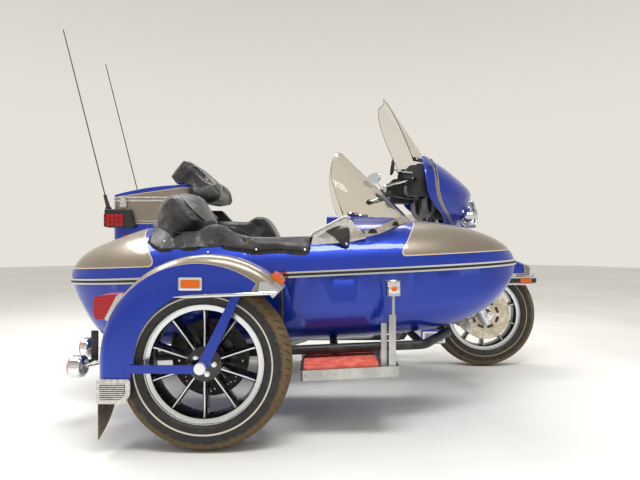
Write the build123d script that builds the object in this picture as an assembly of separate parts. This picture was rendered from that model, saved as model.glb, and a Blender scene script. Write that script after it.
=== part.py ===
from build123d import *
from functools import cache
from math import sin, cos, tan, radians, sqrt, asin
import os

# A touring motorcycle with a single-seat sidecar on its right-hand side.
# Millimetres. +X is forward, +Y is to the left, +Z is up and the floor is z = 0.
# Pieces are drawn on the motorcycle's own datum, whose centre plane is y = 0, and are moved
# to the origin, the bottom centre of the whole, when they are written.

os.makedirs("parts", exist_ok=True)

# Origin
ORIGIN_X = -63.455
ORIGIN_Y = -405.49

# Fits and walls
RUNNING_FIT = 0.05          # radial clearance of a turning pin or axle
SOFT_GAP = 0.3              # gap between a soft piece and its neighbour
SHELL = 5.0                 # moulded or pressed body wall
SHEET = 3.0                 # sheet metal

# Wheels
TYRE_RADIUS = 315.0
TYRE_HALF = 65.0
BEAD_RADIUS = 217.0         # outer radius of the rim
RIM_HALF = 52.0
RIM_DEPTH = 13.0            # height of the rim's flange over its barrel
SPOKES = 10
SPOKE_WIDTH = 13.0
HUB_RADIUS = 62.0
HUB_HALF = 46.0
AXLE_RADIUS = 11.0
DISC_RADIUS = 146.0
DISC_THICK = 5.0
DISC_OUT = 69.0             # centre plane of a brake disc, from the wheel's centre plane
FENDER_GAP = 62.0           # front wheel cover over its tyre
FENDER_HALF = 92.0
FRONT_AXLE_X = 988.0
REAR_AXLE_X = -612.0
SIDECAR_AXLE_X = -416.0
TRACK = 1200.0              # motorcycle's centre plane to the sidecar wheel's
AXLE_Z = TYRE_RADIUS

# Steering
RAKE = 26.0
TRAIL = 157.0
LEG_BEHIND = 22.0           # leg's centre line behind the front axle, normal to the steering axis
LEG_OUT = 105.0
SLIDER_RADIUS = 29.0
SLIDER_LENGTH = 330.0
TUBE_RADIUS = 20.5
STEM_RADIUS = 14.0
HEAD_RADIUS = 30.0
LOWER_YOKE = 862.0          # height along the steering axis, from the floor
UPPER_YOKE = 1062.0
YOKE_THICK = 30.0
BAR_RADIUS = 12.5

# Main frame
CRADLE_OUT = 105.0
CRADLE_Z = 185.0
CRADLE_RADIUS = 16.0
BACKBONE_RADIUS = 28.0
PIVOT_X = -225.0
PIVOT_Z = 300.0

# Engine
CRANK_X = 150.0
CRANK_Z = 305.0
VEE = 22.5                  # each cylinder's lean from upright
CYLINDER_FOOT = 100.0
CYLINDER_TOP = 262.0
FIN_PITCH = 13.0
FIN_THICK = 4.0
FIN_LENGTH = 158.0
FIN_WIDTH = 150.0
SPROCKET_X = -100.0
SPROCKET_RADIUS = 44.0
PULLEY_RADIUS = 104.0
BELT_IN = 68.0
BELT_OUT = 88.0
ARM_IN = 96.0
ARM_OUT = 114.0
CROSS_X = -272.0            # cross tube of the rear fork
BELT_THICK = 7.0

# Luggage
BAG_BACK = -1085.0
BAG_FRONT = -560.0
BAG_IN = 238.0
BAG_OUT = 400.0
BAG_FLOOR = 335.0
BAG_SEAM = 600.0
BAG_LID = 50.0
BOX_BACK = -1166.0
BOX_FRONT = -740.0
BOX_HALF = 278.0
BOX_FLOOR = 765.0
BOX_SEAM = 989.0
BOX_LID_BACK = 1032.0       # height of the lid's crown at its back
BOX_LID_FRONT = 1094.0
LID_GAP = 1.0
HINGE_RADIUS = 6.0
HINGE_PIN = 3.0
HINGE_REACH = 28.0          # half the length of each hinge's pin
BAG_HINGES = (-930, -715)   # x of each hinge's middle
BOX_HINGES = (-1060, -846)
BOX_CORNER = 70.0
POD_TOP = 931.0             # top of the lamp pods on the box's rear corners
BOX_CROWN = 28.0            # rise of the lid's middle over its sides
PILLOW_HALF = 250.0

# Sidecar body
BODY_X = -132.0
BODY_Y = -755.0
BODY_Z = 622.0              # belt line at the body's middle
BODY_PITCH = 2.5            # nose up
BODY_WALL = 6.0
COCKPIT_BACK = -590.0
COCKPIT_FRONT = 290.0
COCKPIT_HALF = 246.0
COCKPIT_CORNER = 70.0
PAD_THICK = 16.0
PAD_WIDTH = 26.0
BELT_HALF = 12.0
BELT_PROUD = 6.0

# Sidecar wheel cover and step
COVER_RADIUS = 392.0
COVER_HALF = 88.0
COVER_BACK = 107.0          # degrees behind upright
COVER_FRONT = 45.0
COVER_SIDE = 335.0          # inner radius of its side walls
COVER_TAIL = 4.0            # how far the tail stands out from those walls
RAIL_Z = 563.0
STEP_BACK = -76.0
STEP_FRONT = 302.0
STEP_IN = -890.0
STEP_OUT = -1150.0
STEP_Z = 228.0
STEP_THICK = 40.0
STEP_PITCH = 2.8
CHASSIS_Z = 318.0           # chassis tubes at the step, pitched like the body
CHASSIS_RADIUS = 19.0
CHASSIS_IN = -520.0
CHASSIS_OUT = -985.0

# Side stand
STAND_X = 170.0
STAND_Y = 142.0
STAND_Z = 192.0
STAND_LENGTH = 168.0


def save(node, shape):
    """Write one piece, moved from the motorcycle's datum to the origin."""
    export_step(Pos(-ORIGIN_X, -ORIGIN_Y, 0) * shape, f"parts/{node}.step")


def rod(start, end, radius):
    """A round bar between two points."""
    run = Vector(*end) - Vector(*start)
    return extrude(Plane(origin=start, z_dir=run) * Circle(radius), amount=run.length)


def pipe(points, radius, bend):
    """A bent round bar along straight runs joined by arcs."""
    path = FilletPolyline(*points, radius=bend)
    return sweep(Plane(path @ 0, z_dir=path % 0) * Circle(radius), path=path)


def slab(x, y, z):
    """A block from three pairs of limits."""
    size = Box(x[1] - x[0], y[1] - y[0], z[1] - z[0])
    return Pos((x[0] + x[1]) / 2, (y[0] + y[1]) / 2, (z[0] + z[1]) / 2) * size


def plate(outline, right, left, corner=0):
    """A plate with an outline of (x, z) points, between two side planes."""
    face = make_face(Polyline(*outline, close=True))
    if corner:
        face = fillet(face.vertices(), corner)
    return Pos(0, left, 0) * extrude(Plane.XZ * face, amount=left - right)


def disc(x, z, radius, right, left):
    """A flat cylinder that lies across the vehicle."""
    return rod((x, right, z), (x, left, z), radius)


def both(piece):
    """A piece and its mirror image on the other side of the centre plane."""
    return piece + mirror(piece, about=Plane.XZ)


def turned(face, back=180, front=180):
    """Turn a (y, radius) face about the Y axis, from `back` degrees behind upright to `front`."""
    upright = Plane(origin=(0, 0, 0), x_dir=(0, 1, 0), z_dir=(1, 0, 0)) * face
    return Rot(0, -back, 0) * revolve(upright, Axis.Y, back + front)


def profile(points):
    """A closed face from (y, radius) points."""
    return make_face(Polyline(*points, close=True))


def across(x, face):
    """Stand a (y, z) face on the plane across the vehicle at x."""
    return Plane(origin=(x, 0, 0), x_dir=(0, 1, 0), z_dir=(1, 0, 0)) * face


def rounded_box(x, y, z, edge):
    """A block with all its edges rounded."""
    return fillet(slab(x, y, z).edges(), edge)


# Steering frame: x ahead of the steering axis, y left, z up along it from the floor.
STEER = Plane(
    origin=(FRONT_AXLE_X + TRAIL, 0, 0),
    x_dir=(cos(radians(RAKE)), 0, sin(radians(RAKE))),
    z_dir=(-sin(radians(RAKE)), 0, cos(radians(RAKE))),
).location
AXLE_UP = TRAIL * sin(radians(RAKE)) + AXLE_Z * cos(radians(RAKE))
AXLE_AHEAD = AXLE_Z * sin(radians(RAKE)) - TRAIL * cos(radians(RAKE))
LEG_X = AXLE_AHEAD - LEG_BEHIND

# Sidecar body frame: x forward from the body's middle, y from its centre plane, z from the belt line.
BODY = Pos(BODY_X, BODY_Y, BODY_Z) * Rot(0, -BODY_PITCH, 0)


# Wheels

def tyre():
    """Tyre about the Y axis, seated on its rim."""
    bead = BEAD_RADIUS + SOFT_GAP
    barrel = BEAD_RADIUS - RIM_DEPTH + SOFT_GAP
    seat = RIM_HALF - RIM_DEPTH + 3
    shoulder = TYRE_RADIUS - 14
    inner = Polyline(
        (-RIM_HALF, bead), (-seat - 4, bead), (-seat + 6, barrel),
        (seat - 6, barrel), (seat + 4, bead), (RIM_HALF, bead))
    left = ThreePointArc((RIM_HALF, bead), (TYRE_HALF, (bead + shoulder) / 2), (TYRE_HALF - 13, shoulder))
    crown = ThreePointArc((TYRE_HALF - 13, shoulder), (0, TYRE_RADIUS), (13 - TYRE_HALF, shoulder))
    right = ThreePointArc((13 - TYRE_HALF, shoulder), (-TYRE_HALF, (bead + shoulder) / 2), (-RIM_HALF, bead))
    return turned(make_face([inner, left, crown, right]))


def rim():
    """Cast rim with ten slim spokes and a hub, about the Y axis."""
    barrel = BEAD_RADIUS - RIM_DEPTH
    under = barrel - 10
    ring = turned(profile([
        (-RIM_HALF, BEAD_RADIUS), (-RIM_HALF, under + 4), (-RIM_HALF + 12, under),
        (RIM_HALF - 12, under), (RIM_HALF, under + 4), (RIM_HALF, BEAD_RADIUS),
        (RIM_HALF - 6, BEAD_RADIUS), (RIM_HALF - RIM_DEPTH - 3, barrel),
        (RIM_DEPTH + 3 - RIM_HALF, barrel), (6 - RIM_HALF, BEAD_RADIUS)]))
    hub = turned(profile([
        (-HUB_HALF, 0), (-HUB_HALF, HUB_RADIUS - 14), (-HUB_HALF + 14, HUB_RADIUS),
        (HUB_HALF - 14, HUB_RADIUS), (HUB_HALF, HUB_RADIUS - 14), (HUB_HALF, 0)]))
    spoke = loft([
        Pos(0, 0, HUB_RADIUS - 8) * Rectangle(SPOKE_WIDTH + 6, 2 * HUB_HALF - 34),
        Pos(0, 0, under + 4) * Rectangle(SPOKE_WIDTH, 2 * RIM_HALF - 40)])
    wheel = ring + hub
    for turn in range(SPOKES):
        wheel += Rot(0, turn * 360 / SPOKES, 0) * spoke
    return wheel - rod((0, -HUB_HALF, 0), (0, HUB_HALF, 0), AXLE_RADIUS + RUNNING_FIT)


def brake_disc(side):
    """A drilled disc on its carrier, on one side of the hub."""
    inner = side * (HUB_HALF - 2)
    face = side * (DISC_OUT - DISC_THICK / 2)
    back = side * (DISC_OUT + DISC_THICK / 2)
    blade = rod((0, face, 0), (0, back, 0), DISC_RADIUS) - rod((0, face, 0), (0, back, 0), 62)
    carrier = rod((0, inner, 0), (0, back, 0), 64) - rod((0, inner, 0), (0, back, 0), 34)
    slot = rod((0, face, 118), (0, back, 118), 6)
    for turn in range(18):
        blade -= Rot(0, turn * 20, 0) * slot
    return blade + carrier


def make_wheels():
    """The three wheels; the front has two discs, the rear a disc and the belt pulley."""
    pulley = rod((0, HUB_HALF - 2, 0), (0, BELT_OUT + 3, 0), PULLEY_RADIUS)
    pulley -= rod((0, HUB_HALF - 2, 0), (0, BELT_OUT + 3, 0), 40)
    wheels = [
        # name, x, y, fittings
        ("front", FRONT_AXLE_X, 0, [brake_disc(1), brake_disc(-1)]),
        ("rear", REAR_AXLE_X, 0, [brake_disc(-1), pulley]),
        ("sidecar", SIDECAR_AXLE_X, -TRACK, [brake_disc(1)]),
    ]
    for name, x, y, fittings in wheels:
        place = Pos(x, y, AXLE_Z)
        wheel = rim()
        for fitting in fittings:
            wheel += fitting
        save(f"{name}_tyre", place * tyre())
        save(f"{name}_rim", place * wheel)


# Steering

@cache
def make_fork():
    """Stem, two yokes and two telescopic legs with the axle lugs."""
    low = LOWER_YOKE - YOKE_THICK / 2
    high = UPPER_YOKE + YOKE_THICK / 2
    legs = Part()
    for side in (-1, 1):
        y = side * LEG_OUT
        legs += rod((LEG_X, y, AXLE_UP - 40), (LEG_X, y, AXLE_UP + SLIDER_LENGTH), SLIDER_RADIUS)
        legs += rod((LEG_X, y, AXLE_UP), (LEG_X, y, high), TUBE_RADIUS)
        legs += rod((AXLE_AHEAD, y - 22, AXLE_UP), (AXLE_AHEAD, y + 22, AXLE_UP), 24)
    yokes = Part()
    for up in (LOWER_YOKE, UPPER_YOKE):
        outline = Polyline(
            (LEG_X - 26, -LEG_OUT - 26), (LEG_X + 26, -LEG_OUT - 26), (24, -40), (24, 40),
            (LEG_X + 26, LEG_OUT + 26), (LEG_X - 26, LEG_OUT + 26), (LEG_X - 26, LEG_OUT - 15),
            (-24, 40), (-24, -40), (LEG_X - 26, 15 - LEG_OUT), (LEG_X - 26, -LEG_OUT - 26))
        face = fillet(make_face(outline).vertices(), 10)
        yokes += extrude(Pos(0, 0, up - YOKE_THICK / 2) * face, amount=YOKE_THICK)
    stem = rod((0, 0, low), (0, 0, high + 12), STEM_RADIUS)
    fork = legs + yokes + stem
    fork -= rod((AXLE_AHEAD, -LEG_OUT - 60, AXLE_UP), (AXLE_AHEAD, LEG_OUT + 60, AXLE_UP), AXLE_RADIUS)
    return STEER * fork


def make_front_axle():
    """Front axle through both legs and the wheel, with two spacers and end nuts."""
    inner = LEG_OUT - 22
    axle = rod((FRONT_AXLE_X, -LEG_OUT - 34, AXLE_Z), (FRONT_AXLE_X, LEG_OUT + 34, AXLE_Z), AXLE_RADIUS)
    for side in (-1, 1):
        ends = [(side * (HUB_HALF + 0.5), side * inner, 17), (side * (LEG_OUT + 22), side * (LEG_OUT + 34), 17)]
        for near, far, radius in ends:
            axle += rod((FRONT_AXLE_X, near, AXLE_Z), (FRONT_AXLE_X, far, AXLE_Z), radius)
    return axle - make_fork()


def make_front_calipers():
    """Brake calipers behind each leg, over the edge of its disc."""
    pair = Part()
    for side in (-1, 1):
        body = slab((-58, 58), (DISC_OUT - 16, DISC_OUT + 16), (-26, 26))
        body = fillet(body.edges().filter_by(Axis.Y), 18)
        slot = slab((-60, 60), (DISC_OUT - 4, DISC_OUT + 4), (-40, 14))
        caliper = Rot(0, 90, 0) * (body - slot)
        if side < 0:
            caliper = mirror(caliper, about=Plane.XZ)
        pair += Pos(LEG_X - 112, 0, AXLE_UP + 30) * Rot(0, 180, 0) * caliper
    bracket = Part()
    for side in (-1, 1):
        y = side * (LEG_OUT - 14)
        bracket += rod((LEG_X - SLIDER_RADIUS + 4, y, AXLE_UP + 30), (LEG_X - 92, y, AXLE_UP + 30), 11)
    return STEER * (pair + bracket) - make_fork()


def arch_face(half, crown, side, wall, corner, camber):
    """Channel section of a wheel cover: rounded crown and two side walls."""
    def outline(inset, foot):
        edge = half - inset
        top = crown - inset
        walls = Polyline((edge, top - camber), (edge, foot), (-edge, foot), (-edge, top - camber))
        cap = ThreePointArc((-edge, top - camber), (0, top), (edge, top - camber))
        face = make_face([walls, cap])
        return fillet(face.vertices().group_by(Axis.Y)[-1], corner - inset)
    return outline(0, side) - outline(wall, side - wall)


def make_front_fender():
    """Deep front wheel cover, flared at its tail."""
    radius = TYRE_RADIUS + FENDER_GAP
    cover = turned(arch_face(FENDER_HALF, radius, radius - 95, SHEET, 40, 10), back=112, front=52)
    tail = plate([(600, 146), (600, 224), (742, 224), (742, 146)], -FENDER_HALF - 4, FENDER_HALF + 4, 12)
    tail -= plate([(604, 100), (604, 240), (800, 240), (800, 100)], -FENDER_HALF + 1, FENDER_HALF - 1)
    fender = Pos(FRONT_AXLE_X, 0, AXLE_Z) * cover + tail
    legs = Part()
    for side in (-1, 1):
        legs += rod((LEG_X, side * LEG_OUT, AXLE_UP - 42), (LEG_X, side * LEG_OUT, UPPER_YOKE), SLIDER_RADIUS + 0.2)
    return fender - STEER * legs


def make_front_rail():
    """Bumper rail round the tip of the front wheel cover."""
    outer = FENDER_HALF + 11
    inner = FENDER_HALF + 0.3
    loop = slab((1090, 1306), (-outer, outer), (512, 541)) - slab((1080, 1296), (-inner, inner), (500, 550))
    return fillet(loop.edges().filter_by(Axis.Z).group_by(Axis.X)[-1], 30)


def shell_sections(rows, inset):
    """Plan sections of a bowed panel; each row is z, front x, side x, half width."""
    faces = []
    for z, front, side, half in rows:
        nose = front - inset
        edge = half - inset
        arc = ThreePointArc((side, -edge), (nose, 0), (side, edge))
        faces.append(Pos(0, 0, z) * make_face([arc, Line((side, edge), (side, -edge))]))
    return loft(faces)


FAIRING = [
    # z, front x, side x, half width
    (842, 850, 655, 150),
    (905, 892, 618, 292),
    (985, 900, 585, 372),
    (1050, 894, 570, 396),
    (1150, 784, 564, 372),
    (1228, 672, 566, 292),
]


LAMPS = [
    # y, z, radius
    (0, 915, 92),
    (-178, 888, 56),
    (178, 888, 56),
]


@cache
def make_fairing():
    """Fork-mounted fairing shell with its lamp opening."""
    shell = shell_sections(FAIRING, 0) - Pos(-12, 0, 0) * shell_sections(FAIRING, SHELL)
    for y, z, radius in LAMPS:
        shell -= rod((740, y, z), (1000, y, z), radius + 2)
    return shell


def make_fairing_inner():
    """Instrument panel that closes the fairing's back, held to the upper yoke."""
    rows = [(z, front - 6, side, half - 4) for z, front, side, half in FAIRING[2:]]
    panel = shell_sections(rows, 0) & slab((678, 702), (-400, 400), (800, 1300))
    foot = UPPER_YOKE + YOKE_THICK / 2
    bracket = STEER * slab((18, 62), (-60, 60), (foot, foot + 30))
    pods = Part()
    for side in (-1, 1):
        pod = slab((496, 612), sorted((side * 262, side * 326)), (1004, 1150))
        pods += fillet(pod.edges().group_by(Axis.X)[0], 16)
        pods += slab((600, 690), sorted((side * 262, side * 314)), (1004, 1070))
    return (panel + bracket + pods) - make_fairing() - make_bar(BAR_RADIUS + 6)


def make_windshield():
    """Clear screen over the fairing, leaning back with the fork."""
    rows = [
        # z, front x, side x, half width
        (1216, 694, 575, 255),
        (1330, 655, 532, 268),
        (1450, 596, 476, 250),
        (1560, 542, 440, 200),
        (1612, 517, 448, 140),
    ]
    outer = shell_sections(rows, 0)
    return outer - Pos(-1.2, 0, 0) * shell_sections(rows, 4) - make_fairing()


def make_headlamps():
    """Headlamp in the fairing's nose and a passing lamp on each side, on a cross bar."""
    def lamp(radius, depth):
        face = make_face([
            Line((0, 0), (depth, 0)),
            ThreePointArc((depth, 0), (depth - 6, radius * 0.6), (depth - 22, radius)),
            Line((depth - 22, radius), (depth - 34, radius)),
            ThreePointArc((depth - 34, radius), (depth * 0.3, radius * 0.82), (0, radius * 0.3)),
            Line((0, radius * 0.3), (0, 0))])
        return revolve(face, Axis.X, 360)
    lamps = Part()
    for y, z, radius in LAMPS:
        lamps += Pos(804, y, z) * lamp(radius, 128 - abs(y) * 0.2)
    z = LAMPS[1][1]
    bar = rod((822, LAMPS[1][0], z), (822, LAMPS[2][0], z), 9)
    stay = rod((809, 0, 796), (820, 0, z), 13)
    foot = STEER * slab((24, 62), (-40, 40), (LOWER_YOKE - 12, LOWER_YOKE + 12))
    return (lamps + bar + stay + foot) - make_fork()


def make_bar(radius):
    """The bare handlebar, or the space round it."""
    bar = Part()
    for side in (-1, 1):
        bar += pipe([(636, 0, 1090), (636, side * 60, 1090), (600, side * 230, 1104),
                     (500, side * 370, 1090), (340, side * 452, 1030)], radius, 35)
    return bar


def make_handlebar():
    """Bar with its grips, levers and mirrors, on the upper yoke."""
    top = UPPER_YOKE + YOKE_THICK / 2
    bar = make_bar(BAR_RADIUS)
    for side in (-1, 1):
        bar += rod((420, side * 433, 1053), (335, side * 453, 1029), 18)
        bar += rod((478, side * 383, 1082), (424, side * 410, 1060), 21)
        bar += pipe([(470, side * 390, 1076), (446, side * 446, 1070), (334, side * 486, 1034)], 6, 20)
        bar += rod((455, side * 396, 1072), (384, side * 432, 1150), 6)
        head = Pos(380, side * 432, 1165) * Rot(0, 0, side * 24) * Rot(0, 96, 0)
        bar += head * fillet(extrude(Ellipse(40, 68), amount=16).edges(), 5)
    for side in (-1, 1):
        start = STEER * Pos(-8, side * 34, top)
        bar += rod(tuple(start.position), (636, side * 34, 1090), 15)
    return bar - make_fork()


# Motorcycle frame and engine

@cache
def make_frame():
    """Tube cradle with its steering head, backbone and rear rails."""
    low = LOWER_YOKE + YOKE_THICK / 2 + 2
    high = UPPER_YOKE - YOKE_THICK / 2 - 2
    neck = (STEER * Pos(0, 0, (low + high) / 2)).position
    back = (-215, 0, 640)
    tubes = rod((neck.X - 10, 0, neck.Z - 10), back, BACKBONE_RADIUS)
    tubes += rod((neck.X - 20, 0, neck.Z - 52), (640, 0, 594), CRADLE_RADIUS + 3)
    for side in (-1, 1):
        y = side * CRADLE_OUT
        tubes += pipe([(644, side * 6, 606), (545, side * 85, 330), (495, y, CRADLE_Z),
                       (-190, y, CRADLE_Z), (PIVOT_X, y, PIVOT_Z), (PIVOT_X, y, 560)], CRADLE_RADIUS, 45)
        tubes += pipe([(-190, side * 20, 640), (-240, side * 110, 632), (-700, side * 126, 640),
                       (-1060, side * 150, 735)], 12, 40)
        tubes += rod((PIVOT_X, y, 545), (-300, side * 118, 630), 14)
        tubes += rod((-700, side * 126, 640), (-700, side * (BAG_IN - 4), 560), 9)
        tubes += rod((-980, side * 144, 714), (-980, side * (BAG_IN - 4), 560), 9)
    for x, z, radius in ((490, CRADLE_Z, 13), (-185, CRADLE_Z, 14), (PIVOT_X, PIVOT_Z, 14),
                         (PIVOT_X, 552, 14), (-1050, 732, 10)):
        half = 150 if x < -900 else CRADLE_OUT
        tubes += rod((x, -half, z), (x, half, z), radius)
    head = rod((0, 0, low), (0, 0, high), HEAD_RADIUS)
    bore = rod((0, 0, low - 1), (0, 0, high + 1), STEM_RADIUS + RUNNING_FIT)
    return (tubes + STEER * head) - STEER * bore


def make_swingarm():
    """Rear fork from its pivot in the frame to the rear axle."""
    arms = Part()
    for side in (-1, 1):
        walls = sorted((side * ARM_IN, side * ARM_OUT))
        arms += plate([(CROSS_X + 20, PIVOT_Z - 22), (CROSS_X + 20, PIVOT_Z + 22),
                       (REAR_AXLE_X - 36, AXLE_Z + 24), (REAR_AXLE_X - 36, AXLE_Z - 20)], *walls, 8)
        arms += slab((CROSS_X, PIVOT_X + 20), sorted((side * 24, side * 48)), (PIVOT_Z - 20, PIVOT_Z + 20))
    arms += disc(CROSS_X, PIVOT_Z, 16, -ARM_IN, ARM_IN)
    arms -= disc(PIVOT_X, PIVOT_Z, 14, -60, 60)
    arms -= disc(REAR_AXLE_X, AXLE_Z, AXLE_RADIUS, -ARM_OUT, ARM_OUT)
    caliper = slab((REAR_AXLE_X + 92, REAR_AXLE_X + 162), (-88, -54), (AXLE_Z + 28, AXLE_Z + 98))
    gap = disc(REAR_AXLE_X, AXLE_Z, DISC_RADIUS + 4, -DISC_OUT - 4, -DISC_OUT + 4)
    strap = slab((REAR_AXLE_X + 100, REAR_AXLE_X + 140), (-ARM_IN - 4, -84), (AXLE_Z, AXLE_Z + 80))
    return arms + (caliper - gap) + strap


def make_axles():
    """Rear axle in the rear fork and sidecar axle from the chassis out through its wheel."""
    rear = disc(REAR_AXLE_X, AXLE_Z, AXLE_RADIUS, -ARM_OUT - 12, ARM_OUT + 12)
    for side in (-1, 1):
        for near, far, radius in ((HUB_HALF + 0.5, ARM_IN, 16), (ARM_OUT, ARM_OUT + 12, 18)):
            ends = sorted((side * near, side * far))
            rear += disc(REAR_AXLE_X, AXLE_Z, radius, *ends)
    inboard = -TRACK + DISC_OUT + 12
    outboard = -TRACK - COVER_HALF - 8
    boss = CHASSIS_OUT - 20
    stub = disc(SIDECAR_AXLE_X, AXLE_Z, AXLE_RADIUS, outboard, boss)
    stub += disc(SIDECAR_AXLE_X, AXLE_Z, 20, -TRACK + HUB_HALF + 0.5, boss)
    stub += disc(SIDECAR_AXLE_X, AXLE_Z, 30, inboard + 10, boss)
    stub += disc(SIDECAR_AXLE_X, AXLE_Z, 20, outboard - 14, -TRACK - HUB_HALF - 0.5)
    return rear + stub


def make_shocks():
    """Two spring units between the rear fork and the rear rails."""
    pair = Part()
    for side in (-1, 1):
        foot = Vector(-520, side * 146, 318)
        head = Vector(-440, side * 146, 624)
        run = head - foot
        unit = rod(tuple(foot), tuple(head), 9)
        for turn in range(9):
            share = 0.16 + 0.08 * turn
            start = foot + run * share
            end = foot + run * (share + 0.035)
            unit += rod(tuple(start), tuple(end), 27)
        unit += rod(tuple(foot + run * 0.05), tuple(foot + run * 0.16), 22)
        unit += rod(tuple(foot + run * 0.84), tuple(foot + run * 0.97), 22)
        unit += disc(foot.X, foot.Z, 14, *sorted((side * ARM_OUT, side * 156)))
        unit += disc(head.X, head.Z + 6, 14, *sorted((side * 120, side * 156)))
        pair += unit
    return pair - make_frame()


@cache
def make_crankcase():
    """Crankcase and gearbox in one casting, with the drive sprocket on its left."""
    case = plate([(15, 225), (15, 385), (90, 425), (215, 425), (300, 370), (318, 290), (285, 215), (60, 205)],
                 -86, 84, 22)
    box = plate([(-150, 230), (-150, 385), (-60, 410), (25, 400), (25, 215), (-110, 212)], -86, 50, 18)
    sprocket = disc(SPROCKET_X, PIVOT_Z, SPROCKET_RADIUS, 50, BELT_OUT)
    feet = slab((-100, 270), (-CRADLE_OUT, CRADLE_OUT - 15), (CRADLE_Z + CRADLE_RADIUS, 224))
    cover = disc(205, 300, 68, -104, -84)
    return case + box + sprocket + feet + cover


@cache
def make_cylinders():
    """Two finned cylinders in a vee, each with its head and rocker cover."""
    pair = Part()
    for lean in (-VEE, VEE):
        barrel = rod((0, 0, CYLINDER_FOOT), (0, 0, CYLINDER_TOP), 58)
        fins = int((CYLINDER_TOP - CYLINDER_FOOT) / FIN_PITCH)
        for row in range(fins):
            up = CYLINDER_FOOT + 14 + row * FIN_PITCH
            fin = extrude(Pos(0, 0, up) * RectangleRounded(FIN_LENGTH - 8, FIN_WIDTH, 24), amount=FIN_THICK)
            barrel += fin
        rocker = slab((-70, 70), (-62, 62), (CYLINDER_TOP - 2, CYLINDER_TOP + 46))
        barrel += fillet(rocker.edges().group_by(Axis.Z)[-1], 14)
        pair += Pos(CRANK_X, 0, CRANK_Z) * Rot(0, lean, 0) * barrel
    trim = plate([(0, 380), (300, 380), (300, 700), (0, 700)], -90, 90)
    case = make_crankcase()
    return (pair & trim) - case


def make_air_cleaner():
    """Round air cleaner on the right of the vee."""
    can = disc(CRANK_X, 530, 78, -178, -118)
    can = fillet(can.edges(), 10)
    return can + disc(CRANK_X, 520, 34, -120, -75.3)


def make_primary_cover():
    """Long rounded cover on the left of the crankcase."""
    left = 152
    body = plate([(-120, 225), (-120, 385), (60, 400), (285, 380), (300, 300), (285, 222), (60, 210)],
                 92, left, 30)
    body = fillet(body.edges().group_by(Axis.Y)[-1], 12)
    return body + disc(150, 300, 40, 84, 94)


def make_exhaust():
    """Two header pipes into a muffler on each side."""
    system = Part()
    vee_front = (278, -72, 470)
    vee_rear = (10, -72, 470)
    system += pipe([vee_front, (300, -128, 455), (345, -150, 330), (300, -160, 215),
                    (0, -178, 205), (-180, -196, 210)], 22, 34)
    system += pipe([vee_rear, (-10, -135, 452), (-40, -160, 400), (-60, -178, 205)], 22, 30)
    system += pipe([(-60, -178, 205), (-215, -150, 148), (-215, 150, 148), (-330, 196, 210)], 20, 40)
    for side, start in ((-1, -170), (1, -320)):
        body = rod((start, side * 196, 210), (start - 90, side * 198, 213), 34)
        body += rod((start - 60, side * 198, 213), (-1105, side * 214, 240), 47)
        body += rod((-1105, side * 214, 240), (-1150, side * 215, 242), 40)
        body -= rod((-1060, side * 213.6, 238.6), (-1150, side * 215, 242), 34)
        system += body
        system += rod((-700, side * 206, 226), (-700, side * 262, BAG_FLOOR - 4), 7)
    return system - make_cylinders()


def make_belt():
    """Toothed drive belt round the sprocket and the rear pulley, as one smooth loop."""
    def loop(grow):
        big = PULLEY_RADIUS + grow
        small = SPROCKET_RADIUS + grow
        span = SPROCKET_X - REAR_AXLE_X
        rise = AXLE_Z - PIVOT_Z
        reach = sqrt(span * span + rise * rise)
        open_angle = asin((big - small) / reach)
        slope = asin(rise / reach)
        up = (sin(open_angle + slope), cos(open_angle + slope))
        down = (sin(open_angle - slope), -cos(open_angle - slope))
        big_top = (REAR_AXLE_X + big * up[0], AXLE_Z + big * up[1])
        big_low = (REAR_AXLE_X + big * down[0], AXLE_Z + big * down[1])
        small_top = (SPROCKET_X + small * up[0], PIVOT_Z + small * up[1])
        small_low = (SPROCKET_X + small * down[0], PIVOT_Z + small * down[1])
        return make_face([
            Line(big_top, small_top),
            ThreePointArc(small_top, (SPROCKET_X + small, PIVOT_Z), small_low),
            Line(small_low, big_low),
            ThreePointArc(big_low, (REAR_AXLE_X - big, AXLE_Z), big_top)])
    band = loop(1 + BELT_THICK) - loop(1)
    return Pos(0, BELT_OUT, 0) * extrude(Plane.XZ * band, amount=BELT_OUT - BELT_IN)


def make_fuel_tank():
    """Teardrop tank over the backbone with its dash strip and filler cap."""
    rows = [
        # x, half width, bottom z, top z
        (-20, 78, 735, 800),
        (120, 120, 700, 850),
        (300, 150, 690, 885),
        (440, 142, 700, 890),
        (560, 84, 745, 862),
    ]
    faces = []
    for x, half, low, high in rows:
        face = Pos(0, (low + high) / 2) * Rectangle(2 * half, high - low)
        top = fillet(face.vertices().group_by(Axis.Y)[-1], min(half * 0.75, (high - low) * 0.6))
        faces.append(across(x, top))
    tank = loft(faces)
    tunnel = slab((-40, 600), (-BACKBONE_RADIUS - 4, BACKBONE_RADIUS + 4), (600, 800))
    tunnel += rod((760, 0, 866), (-215, 0, 640), BACKBONE_RADIUS + 1)
    dash = slab((40, 480), (-42, 42), (840, 903))
    dash = fillet(dash.edges().group_by(Axis.Z)[-1], 10)
    cap = rod((200, 0, 900), (200, 0, 915), 34)
    return tank + dash + cap - tunnel


def make_side_covers():
    """Covers below the seat, one on each side."""
    piece = plate([(-60, 440), (-60, 590), (-225, 620), (-290, 560), (-230, 430)], 126, 142, 16)
    piece += rod((PIVOT_X, CRADLE_OUT, 520), (PIVOT_X, 130, 520), 8)
    return both(piece) - make_frame()


def make_rear_fender():
    """Rear wheel cover between the bags."""
    radius = TYRE_RADIUS + 42
    cover = turned(arch_face(94, radius, radius - 60, SHEET, 36, 8), back=98, front=48)
    fender = Pos(REAR_AXLE_X, 0, AXLE_Z) * cover
    for x in (-700, -420):
        fender += rod((x, -118, 634), (x, 118, 634), 8)
    return fender - make_rear_well() - make_frame()


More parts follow.
